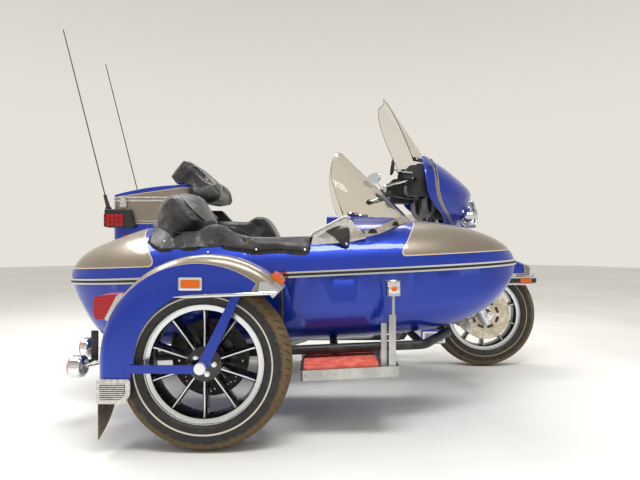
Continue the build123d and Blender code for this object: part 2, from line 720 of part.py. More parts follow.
def make_rear_well():
    """Space kept clear round the rear tyre."""
    return Pos(REAR_AXLE_X, 0, AXLE_Z) * rod((0, -80, 0), (0, 80, 0), TYRE_RADIUS + 10)


def make_floorboards():
    """Rider's and passenger's boards on arms from the cradle."""
    boards = Part()
    rows = [
        # back, front, inner edge, outer edge, height, arm's foot, arm's head
        (290, 500, 180, 290, 271, (380, CRADLE_OUT, CRADLE_Z), (380, 204, 273)),
        (-170, 10, 212, 290, 330, (PIVOT_X, CRADLE_OUT, 400), (-84, 226, 338)),
    ]
    for back, front, inner, outer, z, foot, head in rows:
        boards += rounded_box((back, front), (inner, outer), (z, z + 16), 6) + rod(foot, head, 10)
    return both(boards) - make_frame()


def make_guards():
    """Engine guard loops and the bars round each bag."""
    loop = pipe([(522, 96, 258), (570, 330, 290), (578, 345, 430), (590, 260, 560), (636, 6, 625)], 15, 40)
    low = BAG_FLOOR - 10 - SOFT_GAP
    bars = pipe([(-640, BAG_IN + 30, low), (-545, BAG_IN + 40, low), (-545, BAG_OUT + 14, low),
                 (-700, BAG_OUT + 16, low), (-1000, BAG_OUT + 16, low), (-1106, BAG_OUT - 10, low),
                 (-1106, BAG_IN + 40, low), (-1010, BAG_IN + 30, low)], 10, 24)
    return both(loop) + both(bars) - make_frame()


# Seats and luggage

def make_rider_seat():
    """Stepped two-up saddle."""
    outline = Polyline((-26, 780), (-70, 748), (-236, 752), (-284, 842), (-318, 890), (-372, 892), (-424, 862),
                       (-560, 866), (-715, 860), (-715, 700), (-560, 676), (-240, 672), (-26, 708), (-26, 780))
    face = fillet(make_face(outline).vertices(), 16)
    seat = Pos(0, 165, 0) * extrude(Plane.XZ * face, amount=330)
    rims = seat.edges().group_by(Axis.Y)
    return fillet(rims[0] + rims[-1], 12) - make_frame()


def make_backrest():
    """Passenger's pillow, which leans back over the top box's lid and is carried by it."""
    outline = Polyline((-762, 1228), (-700, 1172), (-636, 1108), (-574, 1074), (-526, 1006), (-544, 966),
                       (-620, 972), (-700, 988), (-758, 1040), (-838, 1112), (-762, 1228))
    face = fillet(make_face(outline).vertices(), 11)
    pillow = Pos(0, PILLOW_HALF, 0) * extrude(Plane.XZ * face, amount=2 * PILLOW_HALF)
    rims = pillow.edges().group_by(Axis.Y)
    pillow = fillet(rims[0] + rims[-1], 10)
    seats = Part()
    for side in (-1, 1):
        seats += slab((BOX_FRONT - 40, BOX_FRONT - 12), (side * 120 - 30, side * 120 + 30), (1050, 1110))
    return (pillow + seats) - make_lid_form(-SOFT_GAP)


def make_armrests():
    """A pod on each side of the top box's front, under the pillow's ends."""
    pods = Part()
    for side in (-1, 1):
        walls = sorted((side * 196, side * 268))
        pods += plate([(BOX_FRONT + SOFT_GAP, 868), (BOX_FRONT + SOFT_GAP, 952), (-642, 952), (-572, 876)], *walls, 8)
    return pods


def hinge(along, length):
    """Knuckles about the X axis: those of the fixed side with the pin, and the moving side's barrel."""
    fixed = Part()
    moving = Part()
    for place in along:
        fixed += rod((place - length, 0, 0), (place + length, 0, 0), HINGE_PIN)
        for end in (-1, 1):
            ends = sorted((place + end * (length / 2 + 1), place + end * length))
            fixed += rod((ends[0], 0, 0), (ends[1], 0, 0), HINGE_RADIUS)
        barrel = rod((place - length / 2, 0, 0), (place + length / 2, 0, 0), HINGE_RADIUS)
        moving += barrel - rod((place - length, 0, 0), (place + length, 0, 0), HINGE_PIN + RUNNING_FIT)
    return fixed, moving


def hollow(x, y, z, wall, edge, open_top):
    """A box shell, open at its top or at its bottom."""
    outer = slab(x, y, z)
    outer = fillet(outer.edges().filter_by(Axis.Z), edge)
    ends = (z[0] + wall, z[1] + 1) if open_top else (z[0] - 1, z[1] - wall)
    inner = slab((x[0] + wall, x[1] - wall), (y[0] + wall, y[1] - wall), ends)
    inner = fillet(inner.edges().filter_by(Axis.Z), edge - wall)
    return outer - inner


def make_bags():
    """Two hard bags and their lids, each hinged along its outer top edge."""
    x = (BAG_BACK, BAG_FRONT)
    y = (BAG_IN, BAG_OUT)
    bag = hollow(x, y, (BAG_FLOOR, BAG_SEAM), SHELL, 45, True)
    lid = hollow(x, y, (BAG_SEAM + LID_GAP, BAG_SEAM + BAG_LID), SHELL, 45, False)
    lid = fillet(lid.faces().sort_by(Axis.Z)[-1].edges(), 10)
    fixed, moving = hinge(BAG_HINGES, HINGE_REACH)
    place = Pos(0, BAG_OUT + HINGE_RADIUS + 0.5, BAG_SEAM)
    fixed_leaf = Part()
    moving_leaf = Part()
    for at in BAG_HINGES:
        for end in (-1, 1):
            ends = sorted((at + end * 16, at + end * 27))
            fixed_leaf += slab(ends, (BAG_OUT - 2, BAG_OUT + 4), (BAG_SEAM - 20, BAG_SEAM))
        moving_leaf += slab((at - 13, at + 13), (BAG_OUT - 2, BAG_OUT + 4), (BAG_SEAM + LID_GAP, BAG_SEAM + 18))
    bag = bag + place * fixed + fixed_leaf
    lid = lid + (place * moving + moving_leaf - place * pin_space(BAG_HINGES, HINGE_REACH))
    strut = rod((-700, BAG_IN - 4, 560), (-700, BAG_IN + 2, 560), 12)
    strut += rod((-980, BAG_IN - 4, 560), (-980, BAG_IN + 2, 560), 12)
    return bag + strut - make_frame(), lid


def pin_space(along, length):
    """The bores of a hinge's moving barrels."""
    bores = Part()
    for place in along:
        bores += rod((place - length, 0, 0), (place + length, 0, 0), HINGE_PIN + RUNNING_FIT)
    return bores


@cache
def make_lid_form(inset):
    """The lid's crowned form over the seam, shrunk by `inset` all round."""
    rows = [
        # x, height of the crown
        (BOX_BACK + inset, BOX_LID_BACK),
        ((BOX_BACK + BOX_FRONT) / 2, (BOX_LID_BACK + BOX_LID_FRONT) / 2 + 16),
        (BOX_FRONT - inset, BOX_LID_FRONT),
    ]
    low = BOX_SEAM + LID_GAP - max(inset, 0) / 2
    half = BOX_HALF - inset
    faces = []
    for x, top in rows:
        crown = top - inset
        edge = crown - BOX_CROWN
        arc = ThreePointArc((-half, edge), (0, crown), (half, edge))
        walls = Polyline((half, edge), (half, low), (-half, low), (-half, edge))
        faces.append(across(x, make_face([arc, walls])))
    length = BOX_FRONT - BOX_BACK - 2 * inset
    plan = RectangleRounded(length, 2 * half, BOX_CORNER - inset)
    column = extrude(Pos((BOX_BACK + BOX_FRONT) / 2, 0, low - 1) * plan, amount=200)
    return loft(faces) & column


def make_tour_box():
    """Top box on its rack, and its lid hinged along the left-hand edge."""
    x = (BOX_BACK, BOX_FRONT)
    y = (-BOX_HALF, BOX_HALF)
    box = hollow(x, y, (BOX_FLOOR, BOX_SEAM), SHELL, BOX_CORNER, True)
    seam = BOX_SEAM + LID_GAP
    lid = make_lid_form(0) - make_lid_form(SHELL)
    fixed, moving = hinge(BOX_HINGES, HINGE_REACH)
    place = Pos(0, BOX_HALF + HINGE_RADIUS + 0.5, BOX_SEAM)
    for at in BOX_HINGES:
        for end in (-1, 1):
            ends = sorted((at + end * 16, at + end * 27))
            box += slab(ends, (BOX_HALF - 2, BOX_HALF + 4), (BOX_SEAM - 20, BOX_SEAM))
        leaf = slab((at - 13, at + 13), (BOX_HALF - 2, BOX_HALF + 4), (seam, BOX_SEAM + 14))
        lid += leaf - place * pin_space(BOX_HINGES, HINGE_REACH)
    rack = Part()
    for side in (-1, 1):
        rack += rod((-800, side * 130, 672), (-800, side * 130, BOX_FLOOR + 1), 10)
        rack += slab((-1120, -780), (side * 130 - 12, side * 130 + 12), (BOX_FLOOR - 14, BOX_FLOOR + 1))
    return box + place * fixed + rack - make_frame(), lid + place * moving


def make_rear_lamps():
    """Lamp pods on the tour box, tail lamp and plate holder on the rear fender."""
    pods = Part()
    for side in (-1, 1):
        walls = sorted((side * (BOX_HALF - 70), side * (BOX_HALF + 30)))
        pod = plate([(-1186, 852), (-1186, POD_TOP), (-1046, POD_TOP), (-1016, 829), (-1166, 829)], *walls, 6)
        pods += fillet(pod.edges().group_by(Axis.Y)[-1 if side > 0 else 0], 5)
    pods -= slab((BOX_BACK, BOX_FRONT), (-BOX_HALF, BOX_HALF), (800, 1100))
    tail = rounded_box((-1010, -940), (-55, 55), (360, 430), 12)
    tail += slab((-984, -976), (-100, 100), (290, 450))
    tail -= Pos(REAR_AXLE_X, 0, AXLE_Z) * rod((0, -110, 0), (0, 110, 0), TYRE_RADIUS + 42)
    return pods, tail


def make_aerials():
    """Two whip aerials with black bases on the rear corners of the tour box."""
    pair = Part()
    for side in (-1, 1):
        y = side * (BOX_HALF - 8)
        foot = (-1180, y, POD_TOP + 3)
        neck = (-1198, y, 1012)
        tip = (-1430, y, 1932)
        pair += rod((-1178, y, POD_TOP + 0.2), (-1178, y, POD_TOP + 12), 17) + rod(foot, neck, 9) + rod(neck, tip, 3)
    return pair


# Sidecar

# The body's size in its middle, and the two powers by which it falls towards its back and front ends.
SWELL = [
    # size, back powers, front powers
    (295, (3.9, 3), (3.12, 2)),         # half width at the belt line
    (226, (3.4, 2.5), (2.95, 2)),       # rise of the deck
    (291, (15.5, 1), (4.6, 1.6)),       # depth of the hull
]
BODY_REACH = 1012.0
STATIONS = (-1009, -990, -955, -900, -820, -700, -530, -320, -100,
            100, 320, 520, 680, 800, 885, 945, 985, 1007)


def swollen(x):
    """Half width, deck rise and hull depth of the body at x."""
    sizes = []
    for size, back, front in SWELL:
        fall, blunt = back if x < 0 else front
        sizes.append(size * (1 - abs(x / BODY_REACH) ** fall) ** (1 / blunt))
    return sizes


HULL = [(x, *swollen(x)) for x in STATIONS]


def deck_face(half, rise):
    """Upper half section: a half ellipse on the belt line."""
    arc = EllipticalCenterArc((0, 0), half, rise, 0, arc_size=180)
    return make_face([arc, Line(arc @ 1, arc @ 0)])


def hull_face(half, depth):
    """Lower half section: sides that lean in to a rounded chine and a flat floor."""
    face = make_face(Polyline((-half, 0), (-0.88 * half, -depth), (0.88 * half, -depth), (half, 0), close=True))
    low = face.vertices().group_by(Axis.Y)[0]
    return fillet(low, radius=0.6 * min(half, depth))


@cache
def body_solid(grow, above=True, below=True):
    """The body's outer form, grown or shrunk all round."""
    end = HULL[-1][0]
    solid = Part()
    stretch = 1 + grow / end
    if above:
        solid += loft([across(x * stretch, deck_face(half + grow, rise + grow)) for x, half, rise, depth in HULL])
    if below:
        solid += loft([across(x * stretch, hull_face(half + grow, depth + grow)) for x, half, rise, depth in HULL])
    return solid


def cockpit(grow):
    """Plan outline of the cockpit opening, through the deck."""
    length = COCKPIT_FRONT - COCKPIT_BACK + 2 * grow
    middle = (COCKPIT_FRONT + COCKPIT_BACK) / 2
    outline = RectangleRounded(length, 2 * (COCKPIT_HALF + grow), COCKPIT_CORNER + grow)
    return extrude(Pos(middle, 0, 20) * outline, amount=400)


def make_sidecar_body():
    """Hollow body with its cockpit opening."""
    shell = body_solid(0) - body_solid(-BODY_WALL) - cockpit(0)
    length = (SEAT_BACK_X + 30, SEAT_FRONT_X - 20)
    half = SEAT_BASE_HALF
    base = slab(length, (BODY_Y - half, BODY_Y + half), (0, SEAT_Z - SOFT_GAP))
    floor = BODY_WALL / 2 - SWELL[2][0]
    base &= BODY * slab((-BODY_REACH, BODY_REACH), (-half, half), (floor, 0))
    return BODY * shell + base


def make_belt_strip():
    """Bright strip round the body at its belt line."""
    def band(grow, half_height):
        end = HULL[-1][0]
        faces = []
        for x, half, rise, depth in HULL:
            faces.append(across(x * (1 + grow / end), Rectangle(2 * (half + grow), 2 * half_height)))
        return loft(faces)
    return BODY * (band(BELT_PROUD, BELT_HALF) - band(0.2, BELT_HALF + 2) - body_solid(0.2))


@cache
def make_coaming():
    """Padded edge round the cockpit opening."""
    pad = body_solid(PAD_THICK, below=False) - body_solid(SOFT_GAP, below=False)
    padded = BODY * (pad & (cockpit(PAD_WIDTH) - cockpit(0)))
    return padded & slab((-1000, BRACKET_BACK - 1), (-1200, -300), (500, 1000))


SEAT_BACK_X = -672.0
SEAT_FRONT_X = -130.0
SEAT_Z = 408.0
SEAT_THICK = 125.0
SEAT_BASE_HALF = 112.0
SEAT_BACK_HALF = 205.0


def make_sidecar_seats():
    """Seat cushion on the floor and the tall back cushion behind it."""
    top = SEAT_Z + SEAT_THICK
    cushion = rounded_box((SEAT_BACK_X + 20, SEAT_FRONT_X), (-188, 188), (SEAT_Z, top), 30)
    outline = Polyline((-690, top + SOFT_GAP), (-714, 620), (-714, 872), (-694, 955), (-660, 985), (-618, 981),
                       (-582, 955), (-540, 910), (-508, 866), (-540, 760), (-574, top + SOFT_GAP),
                       (-690, top + SOFT_GAP))
    face = fillet(make_face(outline).vertices(), 14)
    back = Pos(0, SEAT_BACK_HALF, 0) * extrude(Plane.XZ * face, amount=2 * SEAT_BACK_HALF)
    rims = back.edges().group_by(Axis.Y)
    back = fillet(rims[0] + rims[-1], 12)
    return Pos(0, BODY_Y, 0) * (cushion + back)


SCREEN = [
    # z, front x, side x, half width
    (766, 494, 112, 252),
    (848, 412, 96, 250),
    (930, 330, 69, 246),
    (1030, 228, 45, 205),
    (1110, 146, 55, 135),
    (1156, 98, 84, 45),
]
BRACKET_BACK = -38.0        # side plates that carry the screen's rear corners
BRACKET_OUT = 262.0
BAND_RISE = 30.0            # height of the screen's band over the deck


@cache
def make_sidecar_screen():
    """Clear bowed screen ahead of the cockpit."""
    sheet = shell_sections(SCREEN, 0) - Pos(-1.2, 0, 0) * shell_sections(SCREEN, 4)
    return Pos(0, BODY_Y, 0) * sheet - BODY * body_solid(0)


def make_screen_mount():
    """Metal band along the screen's foot and a folded plate at each of its rear corners."""
    band = shell_sections(SCREEN[:3], -3.2) - shell_sections(SCREEN[:3], -0.2)
    band -= slab((-200, SCREEN[0][2] + 60), (-400, 400), (600, 1000))
    band = Pos(0, BODY_Y, 0) * band & BODY * body_solid(BAND_RISE, below=False)
    sides = Part()
    outline = [(BRACKET_BACK, 705), (BRACKET_BACK + 8, 786), (104, 852), (128, 838), (184, 776), (184, 712)]
    for side in (-1, 1):
        walls = sorted((side * BRACKET_OUT, side * (BRACKET_OUT + SHEET)))
        sides += Pos(0, BODY_Y, 0) * plate(outline, *walls, 5)
        inner, outer = sorted((side * (BRACKET_OUT - 12), side * (BRACKET_OUT + 1)))
        sides += Pos(0, BODY_Y, 0) * slab((172, 182), (inner, outer), (745, 780))
    return (band + sides) - BODY * body_solid(0) - make_sidecar_screen() - make_coaming()


def make_sidecar_fender():
    """Wheel cover with a deeper side panel outboard, its tail reaching down."""
    hoop = turned(arch_face(COVER_HALF, COVER_RADIUS, COVER_SIDE, SHEET, 34, 10), COVER_BACK, COVER_FRONT)
    panel = disc(0, 0, COVER_RADIUS - 30, -COVER_HALF, -COVER_HALF + SHEET)
    panel &= slab((-240, 300), (-COVER_HALF - 1, 0), (RAIL_Z - AXLE_Z, COVER_RADIUS))
    tail = plate([(-376, -127), (-376, -38), (-247, -38), (-247, -127)], -COVER_HALF - COVER_TAIL,
                 COVER_HALF + COVER_TAIL, 14)
    tail -= plate([(-372, -160), (-372, 0), (-200, 0), (-200, -160)], -COVER_HALF + 1, COVER_HALF - 1)
    return Pos(SIDECAR_AXLE_X, -TRACK, AXLE_Z) * (hoop + panel + tail)


def make_fender_trim():
    """Side rail, the two flat struts from the axle's end, and the framed inserts."""
    y = -COVER_HALF
    rail = slab((-100, 268), (y - 9, y - 0.2), (RAIL_Z - AXLE_Z - 8, RAIL_Z - AXLE_Z + 8))
    strut = slab((-COVER_RADIUS + 20, -14), (y - 8, y - 0.5), (-14, 14))
    lean = Rot(0, 28, 0) * slab((-14, 14), (y - 8, y - 0.5), (14, RAIL_Z - AXLE_Z + 40))
    eye = disc(0, 0, 34, y - 8, y - 0.5) - disc(0, 0, 20.2, y - 9, y + 1)
    trim = rail + strut + lean + eye - disc(0, 0, 20.2, y - 9, y + 1)
    return Pos(SIDECAR_AXLE_X, -TRACK, AXLE_Z) * trim


def make_mud_flap():
    """Rubber flap under the tail of the wheel cover."""
    flap = slab((-371.7, -365.7), (-80, 80), (-262, -116))
    return Pos(SIDECAR_AXLE_X, -TRACK, AXLE_Z) * flap


def make_sidecar_lamps():
    """Side marker, tail lamp and front lamp of the wheel cover, the step lamp and rear indicators."""
    y = -TRACK - COVER_HALF
    marker = rounded_box((-488, -414), (y - 14, y - 0.3), (587, 629), 6)
    tail_x = SIDECAR_AXLE_X - sqrt(COVER_RADIUS ** 2 - (530 - AXLE_Z) ** 2)
    tail = rod((tail_x + 20, -TRACK, 530), (tail_x - 52, -TRACK, 522), 46)
    nose = plate([(-224, 577), (-224, 650), (-190, 664), (-160, 650), (-143, 604), (-143, 577)],
                 -TRACK - 62, -TRACK + 62, 6)
    cover = Pos(SIDECAR_AXLE_X, -TRACK, AXLE_Z) * rod((0, -COVER_HALF, 0), (0, COVER_HALF, 0), COVER_RADIUS)
    return marker, tail - cover, nose - cover


def make_indicators():
    """Two round rear indicators on stalks from the chassis tubes."""
    pair = Part()
    rows = [
        # back x, y, z of the lamp's middle, length, stalk's foot
        (-978, -1062, 262, 52, (-850, CHASSIS_OUT - 17, chassis_z(-850) - 4)),
        (-1058, -800, 280, 40, (-850, -800, chassis_z(-850) - 2)),
    ]
    for x, y, z, length, foot in rows:
        lamp = rod((x, y, z), (x + length, y, z), 44)
        lamp = fillet(lamp.edges().group_by(Axis.X)[-1], 18)
        pair += fillet(lamp.edges().group_by(Axis.X)[0], 5)
        pair += rod((x + length - 6, y, z), foot, 7)
    return pair - make_chassis()


def make_step():
    """Boarding step beside the body with its post, on arms from the chassis."""
    board = slab((STEP_BACK, STEP_FRONT), (STEP_OUT, STEP_IN), (-STEP_THICK / 2, STEP_THICK / 2))
    return board


def step_place(z):
    """Height of the step's middle plane at its middle, and its pitch."""
    middle = (STEP_BACK + STEP_FRONT) / 2
    return Pos(middle, 0, z) * Rot(0, -STEP_PITCH, 0) * Pos(-middle, 0, 0)


def make_step_parts():
    """The step, its mat and its lamp on a post."""
    z = STEP_Z + STEP_THICK / 2 + 8
    board = step_place(z) * fillet(make_step().edges().filter_by(Axis.Z), 14)
    mat = slab((STEP_BACK + 14, STEP_FRONT - 76), (STEP_OUT + 14, STEP_IN - 10), (0, 8))
    mat = step_place(z) * Pos(0, 0, STEP_THICK / 2 + 0.2) * fillet(mat.edges().filter_by(Axis.Z), 12)
    posts = slab((262, 288), (STEP_OUT + 8, STEP_OUT + 18), (z, 478))
    posts += slab((236, 258), (STEP_OUT + 40, STEP_OUT + 50), (z, 440))
    posts += rod((278, STEP_OUT + 13, 470), (278, STEP_OUT + 13, 552), 7)
    for x, radius in ((-70.5, 5), (250, 10)):
        posts += rod((x, CHASSIS_OUT, z), (x, CHASSIS_OUT, chassis_z(x)), radius)
    posts -= make_chassis()
    lamp = rod((278, STEP_OUT + 13, 552), (278, STEP_OUT + 13, 612), 31)
    lamp = fillet(lamp.edges(), 12)
    return board + posts, mat, lamp


def chassis_z(x):
    """Height of the chassis tubes, which are pitched like the body."""
    middle = (STEP_BACK + STEP_FRONT) / 2
    return CHASSIS_Z + (x - middle) * tan(radians(BODY_PITCH))


@cache
def make_chassis():
    """Sidecar's tube chassis with its arms to the motorcycle's frame."""
    def at(x, y, up=0):
        return (x, y, chassis_z(x) + up)
    nose = 560
    back = -860
    tubes = Part()
    for y in (CHASSIS_IN, CHASSIS_OUT):
        inset = y * 0.4 + BODY_Y * 0.6
        tubes += pipe([at(back, y), at(430, y), at(nose, inset, 20)], CHASSIS_RADIUS, 60)
    for x in (back + 10, SIDECAR_AXLE_X, 60, 420):
        tubes += rod(at(x, CHASSIS_OUT), at(x, CHASSIS_IN), CHASSIS_RADIUS - 2)
    ends = [at(nose - 8, y * 0.4 + BODY_Y * 0.6, 19) for y in (CHASSIS_IN, CHASSIS_OUT)]
    tubes += rod(*ends, CHASSIS_RADIUS - 2)
    tubes += rod((SIDECAR_AXLE_X, CHASSIS_OUT - 20, AXLE_Z), (SIDECAR_AXLE_X, CHASSIS_OUT + 22, AXLE_Z), 36)
    arms = [
        # start x on the inner tube, end on the motorcycle's frame, radius
        (430, (440, -CRADLE_OUT - 12, CRADLE_Z + 2), 16),
        (-216, (PIVOT_X, -CRADLE_OUT, PIVOT_Z), 16),
        (380, (560, -72, 372), 13),
        (-330, (PIVOT_X, -CRADLE_OUT, 362), 13),
    ]
    for x, end, radius in arms:
        tubes += rod(at(x, CHASSIS_IN), end, radius)
    for x in (-600, 300):
        for y in (CHASSIS_IN, CHASSIS_OUT):
            tubes += rod(at(x, y), at(x, y, 120), 12)
    tubes += pipe([at(-150, CHASSIS_OUT), (-150, -1080, 390), (-150, -TRACK + COVER_HALF + 8, 566)], 8, 30)
    tubes += rod(at(-773, CHASSIS_OUT), at(-773, -TRACK + COVER_HALF + COVER_TAIL + 0.2), 8)
    return tubes - make_frame() - BODY * body_solid(SOFT_GAP)


def make_stand():
    """Side stand, folded back along the left of the cradle."""
    leg = rod((STAND_X, STAND_Y, STAND_Z), (STAND_X - STAND_LENGTH, STAND_Y + 6, STAND_Z - 4), 10)
    foot = slab((STAND_X - STAND_LENGTH - 6, STAND_X - STAND_LENGTH + 4),
                (STAND_Y - 14, STAND_Y + 30), (STAND_Z - 24, STAND_Z + 18))
    eye = disc(STAND_X, STAND_Z, 17, STAND_Y - 9, STAND_Y + 9)
    return leg + foot + eye - disc(STAND_X, STAND_Z, 8 + RUNNING_FIT, STAND_Y - 12, STAND_Y + 12)


def make_stand_bracket():
    """Pivot of the side stand on the left cradle tube."""
    bracket = disc(STAND_X, STAND_Z, 8, CRADLE_OUT, STAND_Y + 14)
    return bracket + disc(STAND_X, STAND_Z, 18, CRADLE_OUT, STAND_Y - 10)


# Write every piece

make_wheels()
save("fork", make_fork())
save("front_axle", make_front_axle())
save("front_calipers", make_front_calipers())
save("front_fender", make_front_fender())
save("front_rail", make_front_rail())
save("fairing", make_fairing())
save("fairing_inner", make_fairing_inner())
save("windshield", make_windshield())
save("headlamps", make_headlamps())
save("handlebar", make_handlebar())

save("frame", make_frame() + make_stand_bracket())
save("swingarm", make_swingarm())
save("axles", make_axles())
save("shocks", make_shocks())
save("crankcase", make_crankcase())
save("cylinders", make_cylinders())
save("air_cleaner", make_air_cleaner())
save("primary_cover", make_primary_cover())
save("exhaust", make_exhaust())
save("drive_belt", make_belt())
save("fuel_tank", make_fuel_tank())
save("side_covers", make_side_covers())
save("rear_fender", make_rear_fender())
save("floorboards", make_floorboards())
save("guards", make_guards())
save("side_stand", make_stand())

save("rider_seat", make_rider_seat())
save("backrest", make_backrest())
save("armrests", make_armrests())
bag, bag_lid = make_bags()
save("saddlebags", both(bag))
save("bag_lid_left", bag_lid)
save("bag_lid_right", mirror(bag_lid, about=Plane.XZ))
tour_box, tour_lid = make_tour_box()
save("tour_box", tour_box)
save("tour_lid", tour_lid)
pods, tail = make_rear_lamps()
save("rear_lamps", pods + tail)
save("aerials", make_aerials())

save("sidecar_chassis", make_chassis())
save("sidecar_body", make_sidecar_body())
save("belt_strip", make_belt_strip())
save("coaming", make_coaming())
save("sidecar_seats", make_sidecar_seats())
save("sidecar_screen", make_sidecar_screen())
save("screen_mount", make_screen_mount())
save("sidecar_fender", make_sidecar_fender())
save("fender_trim", make_fender_trim())
save("mud_flap", make_mud_flap())
marker, tail_lamp, nose_lamp = make_sidecar_lamps()
step, mat, step_lamp = make_step_parts()
save("rear_indicators", make_indicators())
save("sidecar_lamps", marker + tail_lamp + nose_lamp + step_lamp)
save("step", step)
save("step_mat", mat)
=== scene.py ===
from math import atan2, cos, hypot, pi, radians, sin, sqrt, tan

import bmesh
import bpy
from bpy.props import FloatProperty, IntProperty, PointerProperty
from mathutils import Matrix, Vector
from mathutils.bvhtree import BVHTree


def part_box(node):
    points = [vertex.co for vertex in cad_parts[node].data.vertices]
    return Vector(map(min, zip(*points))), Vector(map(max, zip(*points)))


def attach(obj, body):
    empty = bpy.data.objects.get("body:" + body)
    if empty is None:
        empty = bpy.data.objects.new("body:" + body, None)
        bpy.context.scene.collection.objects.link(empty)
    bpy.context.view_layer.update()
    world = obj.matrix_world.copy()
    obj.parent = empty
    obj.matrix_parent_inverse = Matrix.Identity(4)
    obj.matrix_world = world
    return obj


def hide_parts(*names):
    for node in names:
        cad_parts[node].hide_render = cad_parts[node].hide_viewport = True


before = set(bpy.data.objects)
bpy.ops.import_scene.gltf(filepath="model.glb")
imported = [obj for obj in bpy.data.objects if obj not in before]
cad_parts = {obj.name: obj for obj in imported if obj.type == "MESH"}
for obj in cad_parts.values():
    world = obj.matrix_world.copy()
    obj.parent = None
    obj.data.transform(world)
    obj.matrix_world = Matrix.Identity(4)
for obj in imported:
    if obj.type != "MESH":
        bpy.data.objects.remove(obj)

bl_info = {
    "name": "Sidecar motorcycle",
    "version": (1, 0, 0),
    "blender": (4, 5, 0),
    "location": "View3D > Sidebar > Sidecar",
    "description": "Builds a touring motorcycle with a sidecar, its finishes and its studio",
    "category": "Object",
}

for spare in ("Cube", "Light", "Camera"):
    if spare in bpy.data.objects:
        bpy.data.objects.remove(bpy.data.objects[spare])
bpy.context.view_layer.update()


# Places. The motorcycle's own datum is its centre plane, with x = 0 between the wheels, in millimetres.

def middle(node):
    """The middle of a CAD node's box."""
    low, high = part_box(node)
    return (low + high) / 2


FRONT = middle("front_tyre")
REAR = middle("rear_tyre")
SIDE = middle("sidecar_tyre")
FRONT_AXLE = (988, 315)  # ahead of the datum and above the floor
DATUM = Vector((FRONT.x - FRONT_AXLE[0] / 1000, FRONT.y, 0.0))
UPRIGHT = Matrix(((1, 0, 0, 0), (0, 0, -1, 0), (0, 1, 0, 0), (0, 0, 0, 1)))  # plan (x, y) to side view (x, z)
ACROSS = Matrix(((0, 0, 1, 0), (1, 0, 0, 0), (0, 1, 0, 0), (0, 0, 0, 1)))   # plan (x, y) to end view (y, z)


def at(x, y, z):
    """A point of the motorcycle's datum, in the frame's metres."""
    return DATUM + Vector((x, y, z)) / 1000


def move(*place):
    """A shift by three lengths."""
    return Matrix.Translation(Vector(place))


def turn(degrees, axis):
    """A turn about one of the main axes."""
    return Matrix.Rotation(radians(degrees), 4, axis)


SIDECAR_Y = -755
PITCH = 2.5
BODY = move(*at(-132, SIDECAR_Y, 622)) @ turn(-PITCH, "Y")
SIDE_VIEW = move(*DATUM) @ UPRIGHT
END_VIEW = move(*DATUM) @ ACROSS
NO_TURN, HALF_TURN = (0, 0, 0), (0, 0, pi)
COVER_SHIFT = (0.010, 0.013)  # the sidecar wheel cover's centre ahead of the axle and above it

# The photograph's level camera: focal length and picture size in pixels, distance and height in millimetres
FOCAL, WIDE, TALL = 490, 640, 480
EYE_AWAY, EYE_UP = 3000, 761


# Mesh building

def merge(bm, shape, place, skin):
    """Add one shape to a piece's mesh."""
    shape.transform(place)
    if skin is not None:
        for face in shape.faces:
            face.material_index = skin
    spare = bpy.data.meshes.new("spare")
    shape.to_mesh(spare)
    shape.free()
    bm.from_mesh(spare)
    bpy.data.meshes.remove(spare)


def add_lathe(bm, outline, steps=64, place=Matrix(), skin=0, closed=True, skins=None):
    """Turn an outline of (y, radius) points round the local Y axis."""
    shape = bmesh.new()
    rings = []
    for step in range(steps):
        angle = 2 * pi * step / steps
        rings.append([shape.verts.new((r * sin(angle), y, r * cos(angle))) for y, r in outline])
    count = len(outline)
    for step in range(steps):
        one, two = rings[step], rings[(step + 1) % steps]
        for i in range(count if closed else count - 1):
            j = (i + 1) % count
            if outline[i][1] == 0 and outline[j][1] == 0:
                continue
            face = shape.faces.new((one[i], two[i], two[j], one[j]))
            face.material_index = skins[i] if skins else skin
    bmesh.ops.remove_doubles(shape, verts=shape.verts, dist=1e-7)
    bmesh.ops.recalc_face_normals(shape, faces=shape.faces)
    merge(bm, shape, place, None)


def add_prism(bm, outline, low, high, place=Matrix(), skin=0, bevel=0.0, segments=2):
    """Raise an outline of plan points from one height to another, with its edges rounded."""
    shape = bmesh.new()
    foot = [shape.verts.new((x, y, low)) for x, y in outline]
    head = [shape.verts.new((x, y, high)) for x, y in outline]
    shape.faces.new(foot)
    shape.faces.new(head)
    for i in range(len(outline)):
        j = (i + 1) % len(outline)
        shape.faces.new((foot[i], foot[j], head[j], head[i]))
    bmesh.ops.recalc_face_normals(shape, faces=shape.faces)
    if bevel:
        bmesh.ops.bevel(shape, geom=shape.edges[:], offset=bevel, segments=segments, affect="EDGES",
                        clamp_overlap=True)
    merge(bm, shape, place, skin)


def add_block(bm, low, high, place=Matrix(), skin=0, bevel=0.0, segments=2):
    """A block between two corners, with its edges rounded."""
    plan = [(low[0], low[1]), (high[0], low[1]), (high[0], high[1]), (low[0], high[1])]
    add_prism(bm, plan, low[2], high[2], place, skin, bevel, segments)


def smooth_path(points, each=8, closed=False):
    """Points on a smooth line through the given ones."""
    points = [Vector(p) for p in points]
    count = len(points)
    line = []
    for i in range(count if closed else count - 1):
        if closed:
            a, b, c, d = (points[(i + k) % count] for k in (-1, 0, 1, 2))
        else:
            b, c = points[i], points[i + 1]
            a = points[i - 1] if i else b * 2 - c
            d = points[i + 2] if i + 2 < count else c * 2 - b
        for step in range(each):
            t = step / each
            line.append(0.5 * (2 * b + (c - a) * t + (2 * a - 5 * b + 4 * c - d) * t * t
                               + (3 * b - a - 3 * c + d) * t ** 3))
    if not closed:
        line.append(points[-1].copy())
    return line


